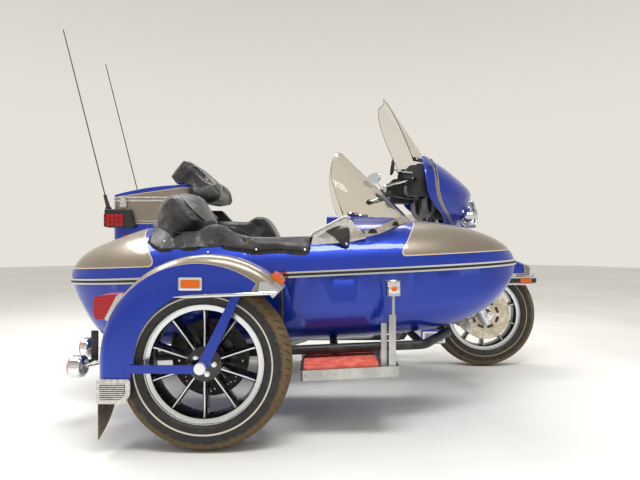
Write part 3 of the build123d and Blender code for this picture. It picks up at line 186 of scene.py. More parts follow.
def skin_rows(shape, rows):
    """Join rings of corners with faces, one after the other, and close both ends."""
    total = len(rows[0])
    for one, two in zip(rows, rows[1:]):
        for i in range(total):
            j = (i + 1) % total
            shape.faces.new((one[i], one[j], two[j], two[i]))
    shape.faces.new(rows[0])
    shape.faces.new(rows[-1])
    bmesh.ops.recalc_face_normals(shape, faces=shape.faces)


def add_sweep(bm, line, section, place=Matrix(), skin=0, closed=False, scales=None, up=None):
    """Carry a closed section of (side, up) points along a line."""
    shape = bmesh.new()
    rings = []
    count = len(line)
    normal = None
    for i, point in enumerate(line):
        ahead = line[(i + 1) % count] if closed or i + 1 < count else point
        behind = line[i - 1] if closed or i else point
        along = (ahead - behind).normalized()
        if up is not None:
            normal = Vector(up)
        elif normal is None:
            normal = Vector((0, 0, 1)) if abs(along.z) < 0.9 else Vector((1, 0, 0))
        side = along.cross(normal).normalized()
        normal = side.cross(along).normalized()
        size = scales[i] if scales else 1.0
        rings.append([shape.verts.new(point + (side * x + normal * y) * size) for x, y in section])
    total = len(section)
    for i in range(count if closed else count - 1):
        one, two = rings[i], rings[(i + 1) % count]
        for j in range(total):
            k = (j + 1) % total
            shape.faces.new((one[j], one[k], two[k], two[j]))
    if not closed:
        shape.faces.new(rings[0])
        shape.faces.new(rings[-1])
    bmesh.ops.recalc_face_normals(shape, faces=shape.faces)
    merge(bm, shape, place, skin)


def round_section(radius, sides=12):
    """A circle as a sweep's section."""
    return [(radius * cos(2 * pi * i / sides), radius * sin(2 * pi * i / sides)) for i in range(sides)]


def add_tube(bm, points, radius, sides=12, each=8, closed=False, scales=None):
    """A round bar along a smooth line through some points, or a straight one where each is 1."""
    line = smooth_path(points, each, closed) if each > 1 else [Vector(p) for p in points]
    add_sweep(bm, line, round_section(radius, sides), closed=closed, scales=scales)


def rounded(points, radius, steps=4):
    """A plan outline with its corners rounded."""
    outline = []
    count = len(points)
    for i in range(count):
        here = Vector(points[i])
        back = (Vector(points[i - 1]) - here)
        fore = (Vector(points[(i + 1) % count]) - here)
        reach = min(radius, back.length * 0.45, fore.length * 0.45)
        start, end = here + back.normalized() * reach, here + fore.normalized() * reach
        for step in range(steps + 1):
            t = step / steps
            outline.append(tuple(start * (1 - t) ** 2 + here * 2 * t * (1 - t) + end * t * t))
    return outline


def ring_points(radius, count, centre=(0, 0)):
    """Plan points on a circle."""
    turns = [2 * pi * i / count for i in range(count)]
    return [(centre[0] + radius * cos(a), centre[1] + radius * sin(a)) for a in turns]


def oblong(wide, tall, x=0, y=0):
    """The four corners of a rectangle about a middle."""
    return [(x - wide / 2, y - tall / 2), (x + wide / 2, y - tall / 2),
            (x + wide / 2, y + tall / 2), (x - wide / 2, y + tall / 2)]


def add_cut_plate(bm, loops, thickness, place=Matrix(), skin=0, bevel=0.0):
    """A flat plate from an outline and its holes, in plan, centred on its own plane."""
    curve = bpy.data.curves.new("plate", "CURVE")
    curve.dimensions = "2D"
    curve.fill_mode = "BOTH"
    curve.extrude = thickness / 2 - bevel
    curve.bevel_depth = bevel
    curve.bevel_resolution = 1
    for loop in loops:
        line = curve.splines.new("POLY")
        line.points.add(len(loop) - 1)
        for point, (x, y) in zip(line.points, loop):
            point.co = (x, y, 0, 1)
        line.use_cyclic_u = True
    holder = bpy.data.objects.new("plate", curve)
    mesh = bpy.data.meshes.new_from_object(holder)
    shape = bmesh.new()
    shape.from_mesh(mesh)
    bpy.data.objects.remove(holder)
    bpy.data.curves.remove(curve)
    bpy.data.meshes.remove(mesh)
    bmesh.ops.remove_doubles(shape, verts=shape.verts, dist=1e-6)
    bmesh.ops.recalc_face_normals(shape, faces=shape.faces)
    merge(bm, shape, place, skin)


def make(name, bm, materials, body, replaces=(), sharp=35.0):
    """Turn a piece's mesh into an object that rides on its body."""
    mesh = bpy.data.meshes.new(name)
    bm.to_mesh(mesh)
    bm.free()
    return finish(name, mesh, materials, body, replaces, sharp)


def finish(name, mesh, materials, body, replaces=(), sharp=35.0):
    """Give a mesh its finishes and its body, and hide the solids it replaces."""
    if mesh.materials:
        mesh.materials.clear()
    for material in materials:
        mesh.materials.append(FINISHES[material])
    mesh.shade_smooth()
    mesh.set_sharp_from_angle(angle=radians(sharp))
    piece = bpy.data.objects.new(name, mesh)
    bpy.context.scene.collection.objects.link(piece)
    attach(piece, body)
    if replaces:
        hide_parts(*replaces)
    return piece


def node_copy(node):
    """A CAD node's mesh with its doubles merged, to work on."""
    bm = bmesh.new()
    bm.from_mesh(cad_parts[node].data)
    bmesh.ops.remove_doubles(bm, verts=bm.verts, dist=1e-5)
    return bm


def baked(holder):
    """An object's mesh with its modifiers applied."""
    return bpy.data.meshes.new_from_object(holder.evaluated_get(bpy.context.evaluated_depsgraph_get()))


def both_sides(near, far):
    """The right and the left span across the centre plane, each from its lower number to its higher."""
    return (-far, -near), (near, far)


def tree_of(piece):
    """A search tree over a finished piece."""
    mesh = piece.data
    return BVHTree.FromPolygons([v.co for v in mesh.vertices], [p.vertices[:] for p in mesh.polygons])


# Repeated shapes with Geometry Nodes

def repeat(name, shape, places, material, body):
    """Set copies of a small shape at (place, turn about x, y and z) rows, as one mesh."""
    small = bpy.data.meshes.new(name + "_one")
    shape.to_mesh(small)
    shape.free()
    single = bpy.data.objects.new(name + "_one", small)
    bpy.context.scene.collection.objects.link(single)
    mesh = bpy.data.meshes.new(name)
    mesh.from_pydata([tuple(place) for place, angles in places], [], [])
    turns = mesh.attributes.new("turn", "FLOAT_VECTOR", "POINT")
    for i, (place, angles) in enumerate(places):
        turns.data[i].vector = angles
    holder = bpy.data.objects.new(name, mesh)
    bpy.context.scene.collection.objects.link(holder)
    tree = bpy.data.node_groups.new(name, "GeometryNodeTree")
    tree.interface.new_socket("Geometry", in_out="INPUT", socket_type="NodeSocketGeometry")
    size = tree.interface.new_socket("Size", in_out="INPUT", socket_type="NodeSocketFloat")
    tree.interface.new_socket("Geometry", in_out="OUTPUT", socket_type="NodeSocketGeometry")
    entry = add(tree, "NodeGroupInput")
    source = add(tree, "GeometryNodeObjectInfo", {"Object": single})
    angles = add(tree, "GeometryNodeInputNamedAttribute", {"Name": "turn"}, data_type="FLOAT_VECTOR")
    spin = add(tree, "FunctionNodeEulerToRotation", {0: angles.outputs[0]})
    copies = add(tree, "GeometryNodeInstanceOnPoints", {
        "Points": entry.outputs["Geometry"], "Instance": source.outputs["Geometry"],
        "Rotation": spin.outputs[0], "Scale": entry.outputs["Size"]})
    real = add(tree, "GeometryNodeRealizeInstances", {0: copies.outputs[0]})
    skin = add(tree, "GeometryNodeSetMaterial", {"Geometry": real.outputs[0], "Material": FINISHES[material]})
    add(tree, "NodeGroupOutput", {0: skin.outputs[0]})
    modifier = holder.modifiers.new("Repeat", "NODES")
    modifier.node_group = tree
    modifier[size.identifier] = 1.0
    result = baked(holder)
    bpy.data.objects.remove(holder)
    bpy.data.objects.remove(single)
    bpy.data.node_groups.remove(tree)
    return finish(name, result, [material], body)


def around(centre, count, radius=0.0, start=0.0):
    """Places evenly round a wheel's axle, each turned with its own angle."""
    rows = []
    for i in range(count):
        angle = start + 2 * pi * i / count
        rows.append((centre + Vector((radius * sin(angle), 0, radius * cos(angle))), (0, angle, 0)))
    return rows


# Materials

def srgb(code):
    """A linear colour from an sRGB hex value."""
    values = [int(code[i:i + 2], 16) / 255 for i in (1, 3, 5)]
    return tuple(v / 12.92 if v <= 0.04045 else ((v + 0.055) / 1.055) ** 2.4 for v in values) + (1.0,)


def add(tree, kind, inputs=(), **settings):
    """Add a node with its settings. Its inputs, by place or name, are values, or nodes or sockets to link."""
    node = tree.nodes.new(kind)
    for key, value in settings.items():
        setattr(node, key, value)
    pairs = inputs.items() if isinstance(inputs, dict) else enumerate(inputs)
    for key, value in pairs:
        if isinstance(value, bpy.types.Node):
            value = next(socket for socket in value.outputs if socket.enabled)
        if isinstance(value, bpy.types.NodeSocket):
            tree.links.new(value, node.inputs[key])
        else:
            node.inputs[key].default_value = value
    return node


MATH = "ShaderNodeMath"
RANGE = "ShaderNodeMapRange"
NOISE = "ShaderNodeTexNoise"
CELLS = "ShaderNodeTexVoronoi"
BUMP = "ShaderNodeBump"
MIX = "ShaderNodeMix"
VECTOR = "ShaderNodeVectorMath"
SPLIT = "ShaderNodeSeparateXYZ"
JOIN = "ShaderNodeCombineXYZ"
BLUE = srgb("#002ea2")
GREY = srgb("#897e6f")
CREAM = srgb("#cbb98c")
FINISHES = {}


def finish_of(build):
    """Register a finish: `build` makes its pattern and returns the shader's inputs."""
    material = bpy.data.materials.new(build.__name__)
    material.use_nodes = True
    tree = material.node_tree
    tree.nodes.clear()
    place = add(tree, "ShaderNodeTexCoord").outputs["Object"]
    shader = add(tree, "ShaderNodeBsdfPrincipled", build(tree, place))
    add(tree, "ShaderNodeOutputMaterial", {"Surface": shader})
    FINISHES[build.__name__] = material
    return build


def fade(tree, field, low, high, dark, light):
    """A colour that turns from dark to light as the field goes from low to high."""
    ramp = add(tree, RANGE, (field, low, high), interpolation_type="SMOOTHSTEP")
    return add(tree, MIX, {0: ramp, 6: dark, 7: light}, data_type="RGBA")


def flaked(tree, place, colour):
    """Base coat with aluminium flake: 0.3 mm flakes drawn at 1.2 mm to show, and a slow drift of tone."""
    flake = add(tree, CELLS, {"Vector": place, "Scale": 1000 / 1.2})
    spark = add(tree, "ShaderNodeSeparateColor", (flake.outputs["Color"],))
    drift = add(tree, NOISE, {"Vector": place, "Scale": 1000 / 240})
    both = add(tree, MATH, (drift, 0.5, add(tree, MATH, (spark, 0.25), operation="MULTIPLY")),
               operation="MULTIPLY_ADD")
    scale = add(tree, RANGE, (both, 0.1, 0.6, 0.82, 1.14))
    base = colour[:3] if isinstance(colour, tuple) else colour
    return add(tree, VECTOR, {0: base, 3: scale}, operation="SCALE")


def clear_coat(tree, place, colour, metallic):
    """Two-layer motor paint: flake base under clear coat, deep and wet, with faint orange peel."""
    peel = add(tree, NOISE, {"Vector": place, "Scale": 1000 / 7})
    skin = add(tree, BUMP, {"Height": peel, "Distance": 0.00002, "Strength": 0.6})
    return {"Base Color": colour, "Metallic": metallic, "Roughness": 0.36, "Coat Weight": 0.7,
            "Coat Roughness": 0.025, "Normal": skin}


def corner_field(tree, x, z, edge_x, edge_z, lean, radius, facing):
    """Metres from a panel whose upright edge leans and whose low corner is rounded; below 0 inside it."""
    ahead = add(tree, MATH, (z, lean, edge_x), operation="MULTIPLY_ADD")
    apart = add(tree, MATH, (x, ahead), operation="SUBTRACT")
    a = add(tree, MATH, (apart, -facing, radius), operation="MULTIPLY_ADD")
    b = add(tree, MATH, (z, -1.0, edge_z + radius), operation="MULTIPLY_ADD")
    corner = add(tree, JOIN, (
        add(tree, MATH, (a, 0.0), operation="MAXIMUM"), add(tree, MATH, (b, 0.0), operation="MAXIMUM"), 0.0))
    outer = add(tree, VECTOR, (corner,), operation="LENGTH").outputs["Value"]
    inner = add(tree, MATH, (add(tree, MATH, (a, b), operation="MAXIMUM"), 0.0), operation="MINIMUM")
    return add(tree, MATH, (add(tree, MATH, (outer, inner), operation="ADD"), radius), operation="SUBTRACT")


def two_tone(tree, place, field, stripe):
    """Blue paint with grey panels inside a field, and a hand-laid cream pinstripe along their edge."""
    inside = add(tree, MATH, (field, 0.0), operation="LESS_THAN")
    tone = add(tree, MIX, {0: inside, 6: BLUE, 7: GREY}, data_type="RGBA")
    apart = add(tree, MATH, (field,), operation="ABSOLUTE")
    edge = add(tree, MATH, (apart, stripe / 2000), operation="LESS_THAN")
    colour = add(tree, MIX, {0: edge, 6: flaked(tree, place, tone), 7: CREAM}, data_type="RGBA")
    return clear_coat(tree, place, colour, add(tree, RANGE, (edge, 0.0, 1.0, 0.55, 0.0)))


def along_axes(tree, place, matrix):
    """Coordinates along a slanted part's own axes."""
    back = matrix.inverted()
    own = add(tree, "ShaderNodeMapping", {"Vector": place, "Location": back.translation,
                                          "Rotation": tuple(back.to_euler())})
    return add(tree, SPLIT, (own,)).outputs


@finish_of
def blue_paint(tree, place):
    """Metallic blue."""
    return clear_coat(tree, place, flaked(tree, place, BLUE), 0.55)


@finish_of
def body_paint(tree, place):
    """Sidecar body: grey on the deck's tail and nose, over the belt line."""
    x, _, z = along_axes(tree, place, BODY)
    tail = corner_field(tree, x, z, -0.4955, 0.056, -0.6, 0.035, -1)
    nose = corner_field(tree, x, z, 0.418, 0.055, 0.69, 0.030, 1)
    return two_tone(tree, place, add(tree, MATH, (tail, nose), operation="MINIMUM"), 4.0)


@finish_of
def cover_paint(tree, place):
    """Sidecar wheel cover: grey crown over blue sides, parted by a pinstripe that ends in a point ahead."""
    x, _, z = along_axes(tree, place, move(*SIDE))
    own_x = add(tree, MATH, (x, COVER_SHIFT[0]), operation="SUBTRACT")
    own_z = add(tree, MATH, (z, COVER_SHIFT[1]), operation="SUBTRACT")
    flat = add(tree, JOIN, (own_x, 0.0, own_z))
    radius = add(tree, VECTOR, (flat,), operation="LENGTH").outputs["Value"]
    limit = add(tree, RANGE, (x, -0.35, 0.20, 0.377, 0.336))
    crown = add(tree, MATH, (radius, limit), operation="SUBTRACT")
    lean = add(tree, MATH, (z, 0.62, 0.012), operation="MULTIPLY_ADD")
    front = add(tree, MATH, (x, lean), operation="SUBTRACT")
    field = add(tree, MATH, (crown, front), operation="MAXIMUM")
    return two_tone(tree, place, add(tree, MATH, (field, -1.0), operation="MULTIPLY"), 1.5)


@finish_of
def fender_paint(tree, place):
    """Front fender: blue, with a grey crescent round its nose and along its lower edge there."""
    x, _, z = along_axes(tree, place, move(*FRONT))
    ahead = add(tree, MATH, (0.228, x), operation="SUBTRACT")
    under = add(tree, MATH, (z, 0.247), operation="SUBTRACT")
    start = add(tree, MATH, (0.12, x), operation="SUBTRACT")
    lower = add(tree, MATH, (under, start), operation="MAXIMUM")
    return two_tone(tree, place, add(tree, MATH, (ahead, lower), operation="MINIMUM"), 2.0)


@finish_of
def box_paint(tree, place):
    """Top box and lid: grey with blue above and below, parted by pinstripes."""
    x, _, z = along_axes(tree, place, move(*at(-953, 0, 0)))
    crown = add(tree, MATH, (x, 0.145, 1.026), operation="MULTIPLY_ADD")
    over = add(tree, MATH, (z, crown), operation="SUBTRACT")
    under = add(tree, MATH, (z, -1.0, 0.852), operation="MULTIPLY_ADD")
    return two_tone(tree, place, add(tree, MATH, (over, under), operation="MAXIMUM"), 3.0)


@finish_of
def fairing_paint(tree, place):
    """Fairing: blue, with a narrow grey sweep along its side."""
    x, _, z = along_axes(tree, place, move(*at(629, 0, 1060)))
    low = add(tree, MATH, (z, 0.0), operation="MINIMUM")
    square = add(tree, MATH, (low, low), operation="MULTIPLY")
    sweep = add(tree, MATH, (square, 3.3), operation="MULTIPLY")
    apart = add(tree, MATH, (add(tree, MATH, (x, sweep), operation="SUBTRACT"),), operation="ABSOLUTE")
    return two_tone(tree, place, add(tree, MATH, (apart, 0.009), operation="SUBTRACT"), 1.5)


@finish_of
def chrome_plate(tree, place):
    """Chrome over nickel on polished steel: a mirror with a faint haze from wiping."""
    haze = add(tree, NOISE, {"Vector": place, "Scale": 1000 / 60, "Detail": 4.0})
    return {"Base Color": srgb("#e2e4e6"), "Metallic": 1.0,
            "Roughness": add(tree, RANGE, (haze, 0.3, 0.7, 0.04, 0.14))}


@finish_of
def brushed_aluminium(tree, place):
    """Rolled aluminium sheet, satin from a lengthwise scratch brush; 0.1 mm scratches drawn at 0.8 mm."""
    along = add(tree, "ShaderNodeMapping", {"Vector": place, "Scale": (0.04, 1.0, 1.0)})
    scratch = add(tree, NOISE, {"Vector": along, "Scale": 1000 / 0.8, "Detail": 3.0})
    patch = add(tree, NOISE, {"Vector": place, "Scale": 1000 / 90, "Detail": 3.0})
    skin = add(tree, BUMP, {"Height": scratch, "Distance": 0.00004, "Strength": 0.5})
    return {"Base Color": fade(tree, patch, 0.3, 0.7, srgb("#a9a9a6"), srgb("#c3c3c0")), "Metallic": 1.0,
            "Roughness": add(tree, RANGE, (scratch, 0.3, 0.7, 0.28, 0.42)), "Normal": skin}


@finish_of
def cast_aluminium(tree, place):
    """Sand-cast and polished aluminium covers: soft grey shine with a 1.5 mm pebble."""
    pebble = add(tree, NOISE, {"Vector": place, "Scale": 1000 / 3, "Detail": 3.0})
    grime = add(tree, NOISE, {"Vector": place, "Scale": 1000 / 70, "Detail": 5.0})
    skin = add(tree, BUMP, {"Height": pebble, "Distance": 0.00012, "Strength": 0.6})
    return {"Base Color": fade(tree, grime, 0.35, 0.65, srgb("#6f6e6a"), srgb("#a5a5a3")), "Metallic": 1.0,
            "Roughness": add(tree, RANGE, (grime, 0.3, 0.7, 0.5, 0.3)), "Normal": skin}


@finish_of
def turned_steel(tree, place):
    """Stainless brake disc, ground in rings: a warm pale metal."""
    rings = add(tree, "ShaderNodeTexWave", {"Vector": place, "Scale": 60.0, "Distortion": 6.0, "Detail": 2.0})
    tone = add(tree, NOISE, {"Vector": place, "Scale": 1000 / 40, "Detail": 3.0})
    return {"Base Color": fade(tree, tone, 0.35, 0.65, srgb("#bdb39b"), srgb("#e0d8c4")), "Metallic": 0.8,
            "Roughness": add(tree, RANGE, (rings, 0.0, 1.0, 0.3, 0.42))}


@finish_of
def machined_edge(tree, place):
    """Rim faces turned bright after painting: fine turning lines, nearly a mirror."""
    lines = add(tree, NOISE, {"Vector": place, "Scale": 1000 / 2, "Detail": 1.0})
    return {"Base Color": srgb("#d4d6d8"), "Metallic": 1.0,
            "Roughness": add(tree, RANGE, (lines, 0.3, 0.7, 0.18, 0.3))}


@finish_of
def black_enamel(tree, place):
    """Gloss black stove enamel on the cast wheels, dulled by road film."""
    film = add(tree, NOISE, {"Vector": place, "Scale": 1000 / 35, "Detail": 5.0})
    return {"Base Color": fade(tree, film, 0.4, 0.75, srgb("#0c0c0d"), srgb("#2a2927")),
            "Roughness": add(tree, RANGE, (film, 0.3, 0.7, 0.14, 0.4)),
            "Coat Weight": 0.5, "Coat Roughness": 0.1}


@finish_of
def powder_coat(tree, place):
    """Black powder coat on steel tube: satin with a 2 mm orange peel and dust on it."""
    peel = add(tree, NOISE, {"Vector": place, "Scale": 1000 / 2.5, "Detail": 2.0})
    dust = add(tree, NOISE, {"Vector": place, "Scale": 1000 / 55, "Detail": 6.0})
    skin = add(tree, BUMP, {"Height": peel, "Distance": 0.00006, "Strength": 0.7})
    return {"Base Color": fade(tree, dust, 0.42, 0.72, srgb("#121213"), srgb("#3b3833")),
            "Roughness": add(tree, RANGE, (dust, 0.3, 0.7, 0.32, 0.6)), "Normal": skin}


@finish_of
def grained_plastic(tree, place):
    """Black moulded ABS with a fine leather grain, 1.5 mm."""
    cells = add(tree, CELLS, {"Vector": place, "Scale": 1000 / 2.0}, feature="SMOOTH_F1")
    skin = add(tree, BUMP, {"Height": cells, "Distance": 0.00015, "Strength": 0.6})
    wear = add(tree, NOISE, {"Vector": place, "Scale": 1000 / 80, "Detail": 4.0})
    return {"Base Color": fade(tree, wear, 0.35, 0.7, srgb("#141416"), srgb("#232325")),
            "Roughness": add(tree, RANGE, (wear, 0.3, 0.7, 0.38, 0.55)), "Normal": skin}


@finish_of
def black_rubber(tree, place):
    """Moulded black rubber, matt, greyed by dust."""
    dust = add(tree, NOISE, {"Vector": place, "Scale": 1000 / 30, "Detail": 6.0})
    fine = add(tree, NOISE, {"Vector": place, "Scale": 1000 / 1.5})
    skin = add(tree, BUMP, {"Height": fine, "Distance": 0.00008, "Strength": 0.6})
    return {"Base Color": fade(tree, dust, 0.4, 0.7, srgb("#18181a"), srgb("#36342f")),
            "Roughness": add(tree, RANGE, (dust, 0.3, 0.7, 0.6, 0.85)), "Normal": skin}


@finish_of
def flap_rubber(tree, place):
    """Mud flap: black rubber grey-brown with dried splash, heavier towards its foot."""
    z = add(tree, SPLIT, (place,)).outputs[2]
    splash = add(tree, NOISE, {"Vector": place, "Scale": 1000 / 18, "Detail": 8.0, "Roughness": 0.7})
    low = add(tree, RANGE, (z, 0.05, 0.22, 0.35, 0.0))
    mud = add(tree, MATH, (splash, low), operation="ADD")
    return {"Base Color": fade(tree, mud, 0.42, 0.85, srgb("#3a3632"), srgb("#7d7060")), "Roughness": 0.85}


@finish_of
def belt_rubber(tree, place):
    """Drive belt: toothed black polyurethane, 14 mm pitch."""
    teeth = add(tree, "ShaderNodeTexWave", {"Vector": place, "Scale": 1000 / 14 / (4 * pi)})
    skin = add(tree, BUMP, {"Height": teeth, "Distance": 0.001, "Strength": 0.5})
    return {"Base Color": srgb("#1b1b1c"), "Roughness": 0.6, "Normal": skin}


def dirty_tyre(tree, place, centre, line_radius, line_half, line_colour, mud):
    """Road tyre: matt black sidewall with a coloured line, brown mud dried over the tread."""
    x, _, z = along_axes(tree, place, move(*centre))
    flat = add(tree, JOIN, (x, 0.0, z))
    radius = add(tree, VECTOR, (flat,), operation="LENGTH").outputs["Value"]
    clumps = add(tree, NOISE, {"Vector": place, "Scale": 1000 / 22, "Detail": 8.0, "Roughness": 0.68})
    fine = add(tree, NOISE, {"Vector": place, "Scale": 1000 / 2.2, "Detail": 3.0})
    outward = add(tree, RANGE, (radius, 0.262, 0.300, 0.0, 1.0), interpolation_type="SMOOTHSTEP")
    cover = add(tree, MATH, (clumps, outward), operation="ADD")
    muddy = add(tree, RANGE, (cover, 0.95 - mud, 1.35 - mud, 0.0, 0.85), interpolation_type="SMOOTHSTEP")
    black = fade(tree, clumps, 0.35, 0.7, srgb("#161617"), srgb("#2c2a27"))
    brown = fade(tree, fine, 0.35, 0.65, srgb("#4d3f2c"), srgb("#86704f"))
    skin = add(tree, MIX, {0: muddy, 6: black, 7: brown}, data_type="RGBA")
    apart = add(tree, MATH, (radius, line_radius), operation="SUBTRACT")
    away = add(tree, MATH, (apart,), operation="ABSOLUTE")
    near = add(tree, MATH, (away, line_half), operation="LESS_THAN")
    line = add(tree, MIX, {0: near, 6: skin, 7: line_colour}, data_type="RGBA")
    lumps = add(tree, MATH, (clumps, fine), operation="ADD")
    bump = add(tree, BUMP, {"Height": lumps, "Distance": 0.0006, "Strength": 0.5})
    return {"Base Color": line, "Roughness": add(tree, RANGE, (muddy, 0.0, 0.8, 0.55, 0.95)), "Normal": bump}


@finish_of
def sidecar_tyre_rubber(tree, place):
    """Sidecar tyre: a white line, and the most mud."""
    return dirty_tyre(tree, place, SIDE, 0.247, 0.0028, srgb("#cfc9ba"), 0.22)


@finish_of
def front_tyre_rubber(tree, place):
    """Front tyre: a gold line."""
    return dirty_tyre(tree, place, FRONT, 0.250, 0.0022, srgb("#a08a5a"), 0.16)


@finish_of
def rear_tyre_rubber(tree, place):
    """Rear tyre: a gold line."""
    return dirty_tyre(tree, place, REAR, 0.250, 0.0022, srgb("#a08a5a"), 0.16)


@finish_of
def worn_leather(tree, place):
    """Black hide, polished by use: 3 mm pebble, soft creases and a brown-grey sheen on the raised parts."""
    pores = add(tree, CELLS, {"Vector": place, "Scale": 1000 / 3.2}, feature="DISTANCE_TO_EDGE")
    crease = add(tree, NOISE, {"Vector": place, "Scale": 1000 / 45, "Detail": 5.0, "Distortion": 1.2})
    tone = add(tree, NOISE, {"Vector": place, "Scale": 1000 / 120, "Detail": 3.0})
    fine = add(tree, BUMP, {"Height": pores, "Distance": 0.0003, "Strength": 0.5})
    skin = add(tree, BUMP, {"Height": crease, "Distance": 0.004, "Strength": 0.55, "Normal": fine})
    return {"Base Color": fade(tree, tone, 0.35, 0.68, srgb("#1b1a1b"), srgb("#3a3634")),
            "Roughness": add(tree, RANGE, (crease, 0.3, 0.7, 0.32, 0.52)), "Sheen Weight": 0.15,
            "Sheen Roughness": 0.4, "Normal": skin}


@finish_of
def clear_acrylic(tree, place):
    """Cast acrylic sheet, wiped: clear and a little warm, with a soft haze of fine scratches."""
    haze = add(tree, NOISE, {"Vector": place, "Scale": 1000 / 50, "Detail": 4.0})
    return {"Base Color": srgb("#f0ece4"), "Transmission Weight": 1.0, "IOR": 1.18,
            "Roughness": add(tree, RANGE, (haze, 0.35, 0.7, 0.02, 0.06))}


def lens(tree, place, colour):
    """Moulded acrylic lens with 3 mm prisms on its inner face."""
    prism = add(tree, CELLS, {"Vector": place, "Scale": 1000 / 5.0}, feature="F1", distance="CHEBYCHEV")
    skin = add(tree, BUMP, {"Height": prism, "Distance": 0.0008, "Strength": 0.5})
    return {"Base Color": colour, "Roughness": 0.12, "Transmission Weight": 0.25, "IOR": 1.49, "Normal": skin}


@finish_of
def amber_lens(tree, place):
    """Amber acrylic."""
    return lens(tree, place, srgb("#f0700c"))


@finish_of
def red_lens(tree, place):
    """Red acrylic."""
    return lens(tree, place, srgb("#b01018"))


@finish_of
def clear_lens(tree, place):
    """Clear acrylic with a pale colour painted in for the bright reflector behind it: painted reflection."""
    return lens(tree, place, srgb("#e6e9ea"))


@finish_of
def ribbed_red_lens(tree, place):
    """Red acrylic lens moulded in level ribs, 9 mm apart."""
    z = add(tree, SPLIT, (place,)).outputs[2]
    phase = add(tree, MATH, (z, 2 * pi / 0.009), operation="MULTIPLY")
    wave = add(tree, MATH, (phase,), operation="SINE")
    skin = add(tree, BUMP, {"Height": wave, "Distance": 0.0012, "Strength": 0.8})
    return {"Base Color": srgb("#c01420"), "Roughness": 0.12, "Transmission Weight": 0.25, "IOR": 1.49,
            "Normal": skin}


@finish_of
def satin_trim(tree, place):
    """Die-cast trim in satin off-white metal, thinly worn."""
    wear = add(tree, NOISE, {"Vector": place, "Scale": 1000 / 12, "Detail": 5.0})
    return {"Base Color": fade(tree, wear, 0.35, 0.7, srgb("#bdbab4"), srgb("#dedbd6")), "Metallic": 0.7,
            "Roughness": add(tree, RANGE, (wear, 0.3, 0.7, 0.3, 0.5))}


@finish_of
def coral_mat(tree, place):
    """Coral rubber sheet, matt, ribbed at 9 mm, scuffed pale where feet land."""
    scuff = add(tree, NOISE, {"Vector": place, "Scale": 1000 / 40, "Detail": 6.0})
    return {"Base Color": fade(tree, scuff, 0.35, 0.7, srgb("#d8594a"), srgb("#f08474")), "Roughness": 0.75}


@finish_of
def mirror_glass(tree, place):
    """Silvered glass: a clean mirror with a trace of film."""
    film = add(tree, NOISE, {"Vector": place, "Scale": 1000 / 30})
    return {"Base Color": srgb("#cdd6dc"), "Metallic": 1.0,
            "Roughness": add(tree, RANGE, (film, 0.3, 0.7, 0.0, 0.03))}


@finish_of
def belt_trim(tree, place):
    """Belt strip: chrome edges with a black rubber insert between them."""
    z = along_axes(tree, place, BODY)[2]
    apart = add(tree, MATH, (z,), operation="ABSOLUTE")
    insert = add(tree, MATH, (apart, 0.005), operation="LESS_THAN")
    colour = add(tree, MIX, {0: insert, 6: srgb("#e2e4e6"), 7: srgb("#101011")}, data_type="RGBA")
    return {"Base Color": colour,
            "Metallic": add(tree, RANGE, (insert, 0.0, 1.0, 1.0, 0.0)),
            "Roughness": add(tree, RANGE, (insert, 0.0, 1.0, 0.08, 0.5))}


@finish_of
def blank_plate(tree, place):
    """Plain white enamelled plate, slightly chalky."""
    chalk = add(tree, NOISE, {"Vector": place, "Scale": 1000 / 12, "Detail": 3.0})
    return {"Base Color": fade(tree, chalk, 0.3, 0.7, srgb("#d8d8d2"), srgb("#ecece8")), "Roughness": 0.45}


@finish_of
def studio_floor(tree, place):
    """Pale sealed floor."""
    mottle = add(tree, NOISE, {"Vector": place, "Scale": 0.9, "Detail": 4.0})
    return {"Base Color": fade(tree, mottle, 0.3, 0.7, srgb("#e2e2de"), srgb("#ecece9")), "Roughness": 0.55}


# Which finish each carried-over solid takes
COATS = {
    "powder_coat": "frame swingarm sidecar_chassis side_stand",
    "chrome_plate": "axles shocks primary_cover exhaust guards fork front_axle handlebar air_cleaner "
                    "front_rail rear_indicators headlamps",
    "cast_aluminium": "crankcase cylinders front_calipers",
    "belt_rubber": "drive_belt",
    "blue_paint": "fuel_tank side_covers rear_fender bag_lid_left bag_lid_right saddlebags fender_trim",
    "body_paint": "sidecar_body",
    "cover_paint": "sidecar_fender",
    "fender_paint": "front_fender",
    "box_paint": "tour_box tour_lid",
    "fairing_paint": "fairing",
    "grained_plastic": "armrests aerials fairing_inner rear_lamps",
    "black_rubber": "floorboards",
    "flap_rubber": "mud_flap",
    "belt_trim": "belt_strip",
    "worn_leather": "rider_seat backrest coaming sidecar_seats",
    "clear_acrylic": "sidecar_screen windshield",
    "brushed_aluminium": "screen_mount step",
    "coral_mat": "step_mat",
    "amber_lens": "sidecar_lamps",
    "sidecar_tyre_rubber": "sidecar_tyre",
    "front_tyre_rubber": "front_tyre",
    "rear_tyre_rubber": "rear_tyre",
    "black_enamel": "front_rim rear_rim sidecar_rim",
}


# Sizes that a user may change

def length(name, text, value):
    """A length that a user may change."""
    return FloatProperty(name=name, description=text, default=value, unit="LENGTH", subtype="DISTANCE")


class WheelSizes(bpy.types.PropertyGroup):
    rim_radius: length("Rim radius", "Outer radius of the bright rim flange", 0.217)
    rim_half: length("Half width", "Half the rim's width over its flanges", 0.052)
    tread_depth: length("Tread depth", "Depth of the tread grooves", 0.005)
    spokes: IntProperty(name="Spokes", description="Number of spokes", default=10)


class StudioSettings(bpy.types.PropertyGroup):
    camera_height: length("Camera height", "Height of the level camera over the floor", EYE_UP / 1000)
    camera_distance: length("Camera distance", "From the motorcycle's centre plane", EYE_AWAY / 1000)
    light: FloatProperty(name="Light", description="Power of the overhead lamps", default=60.0, unit="POWER")


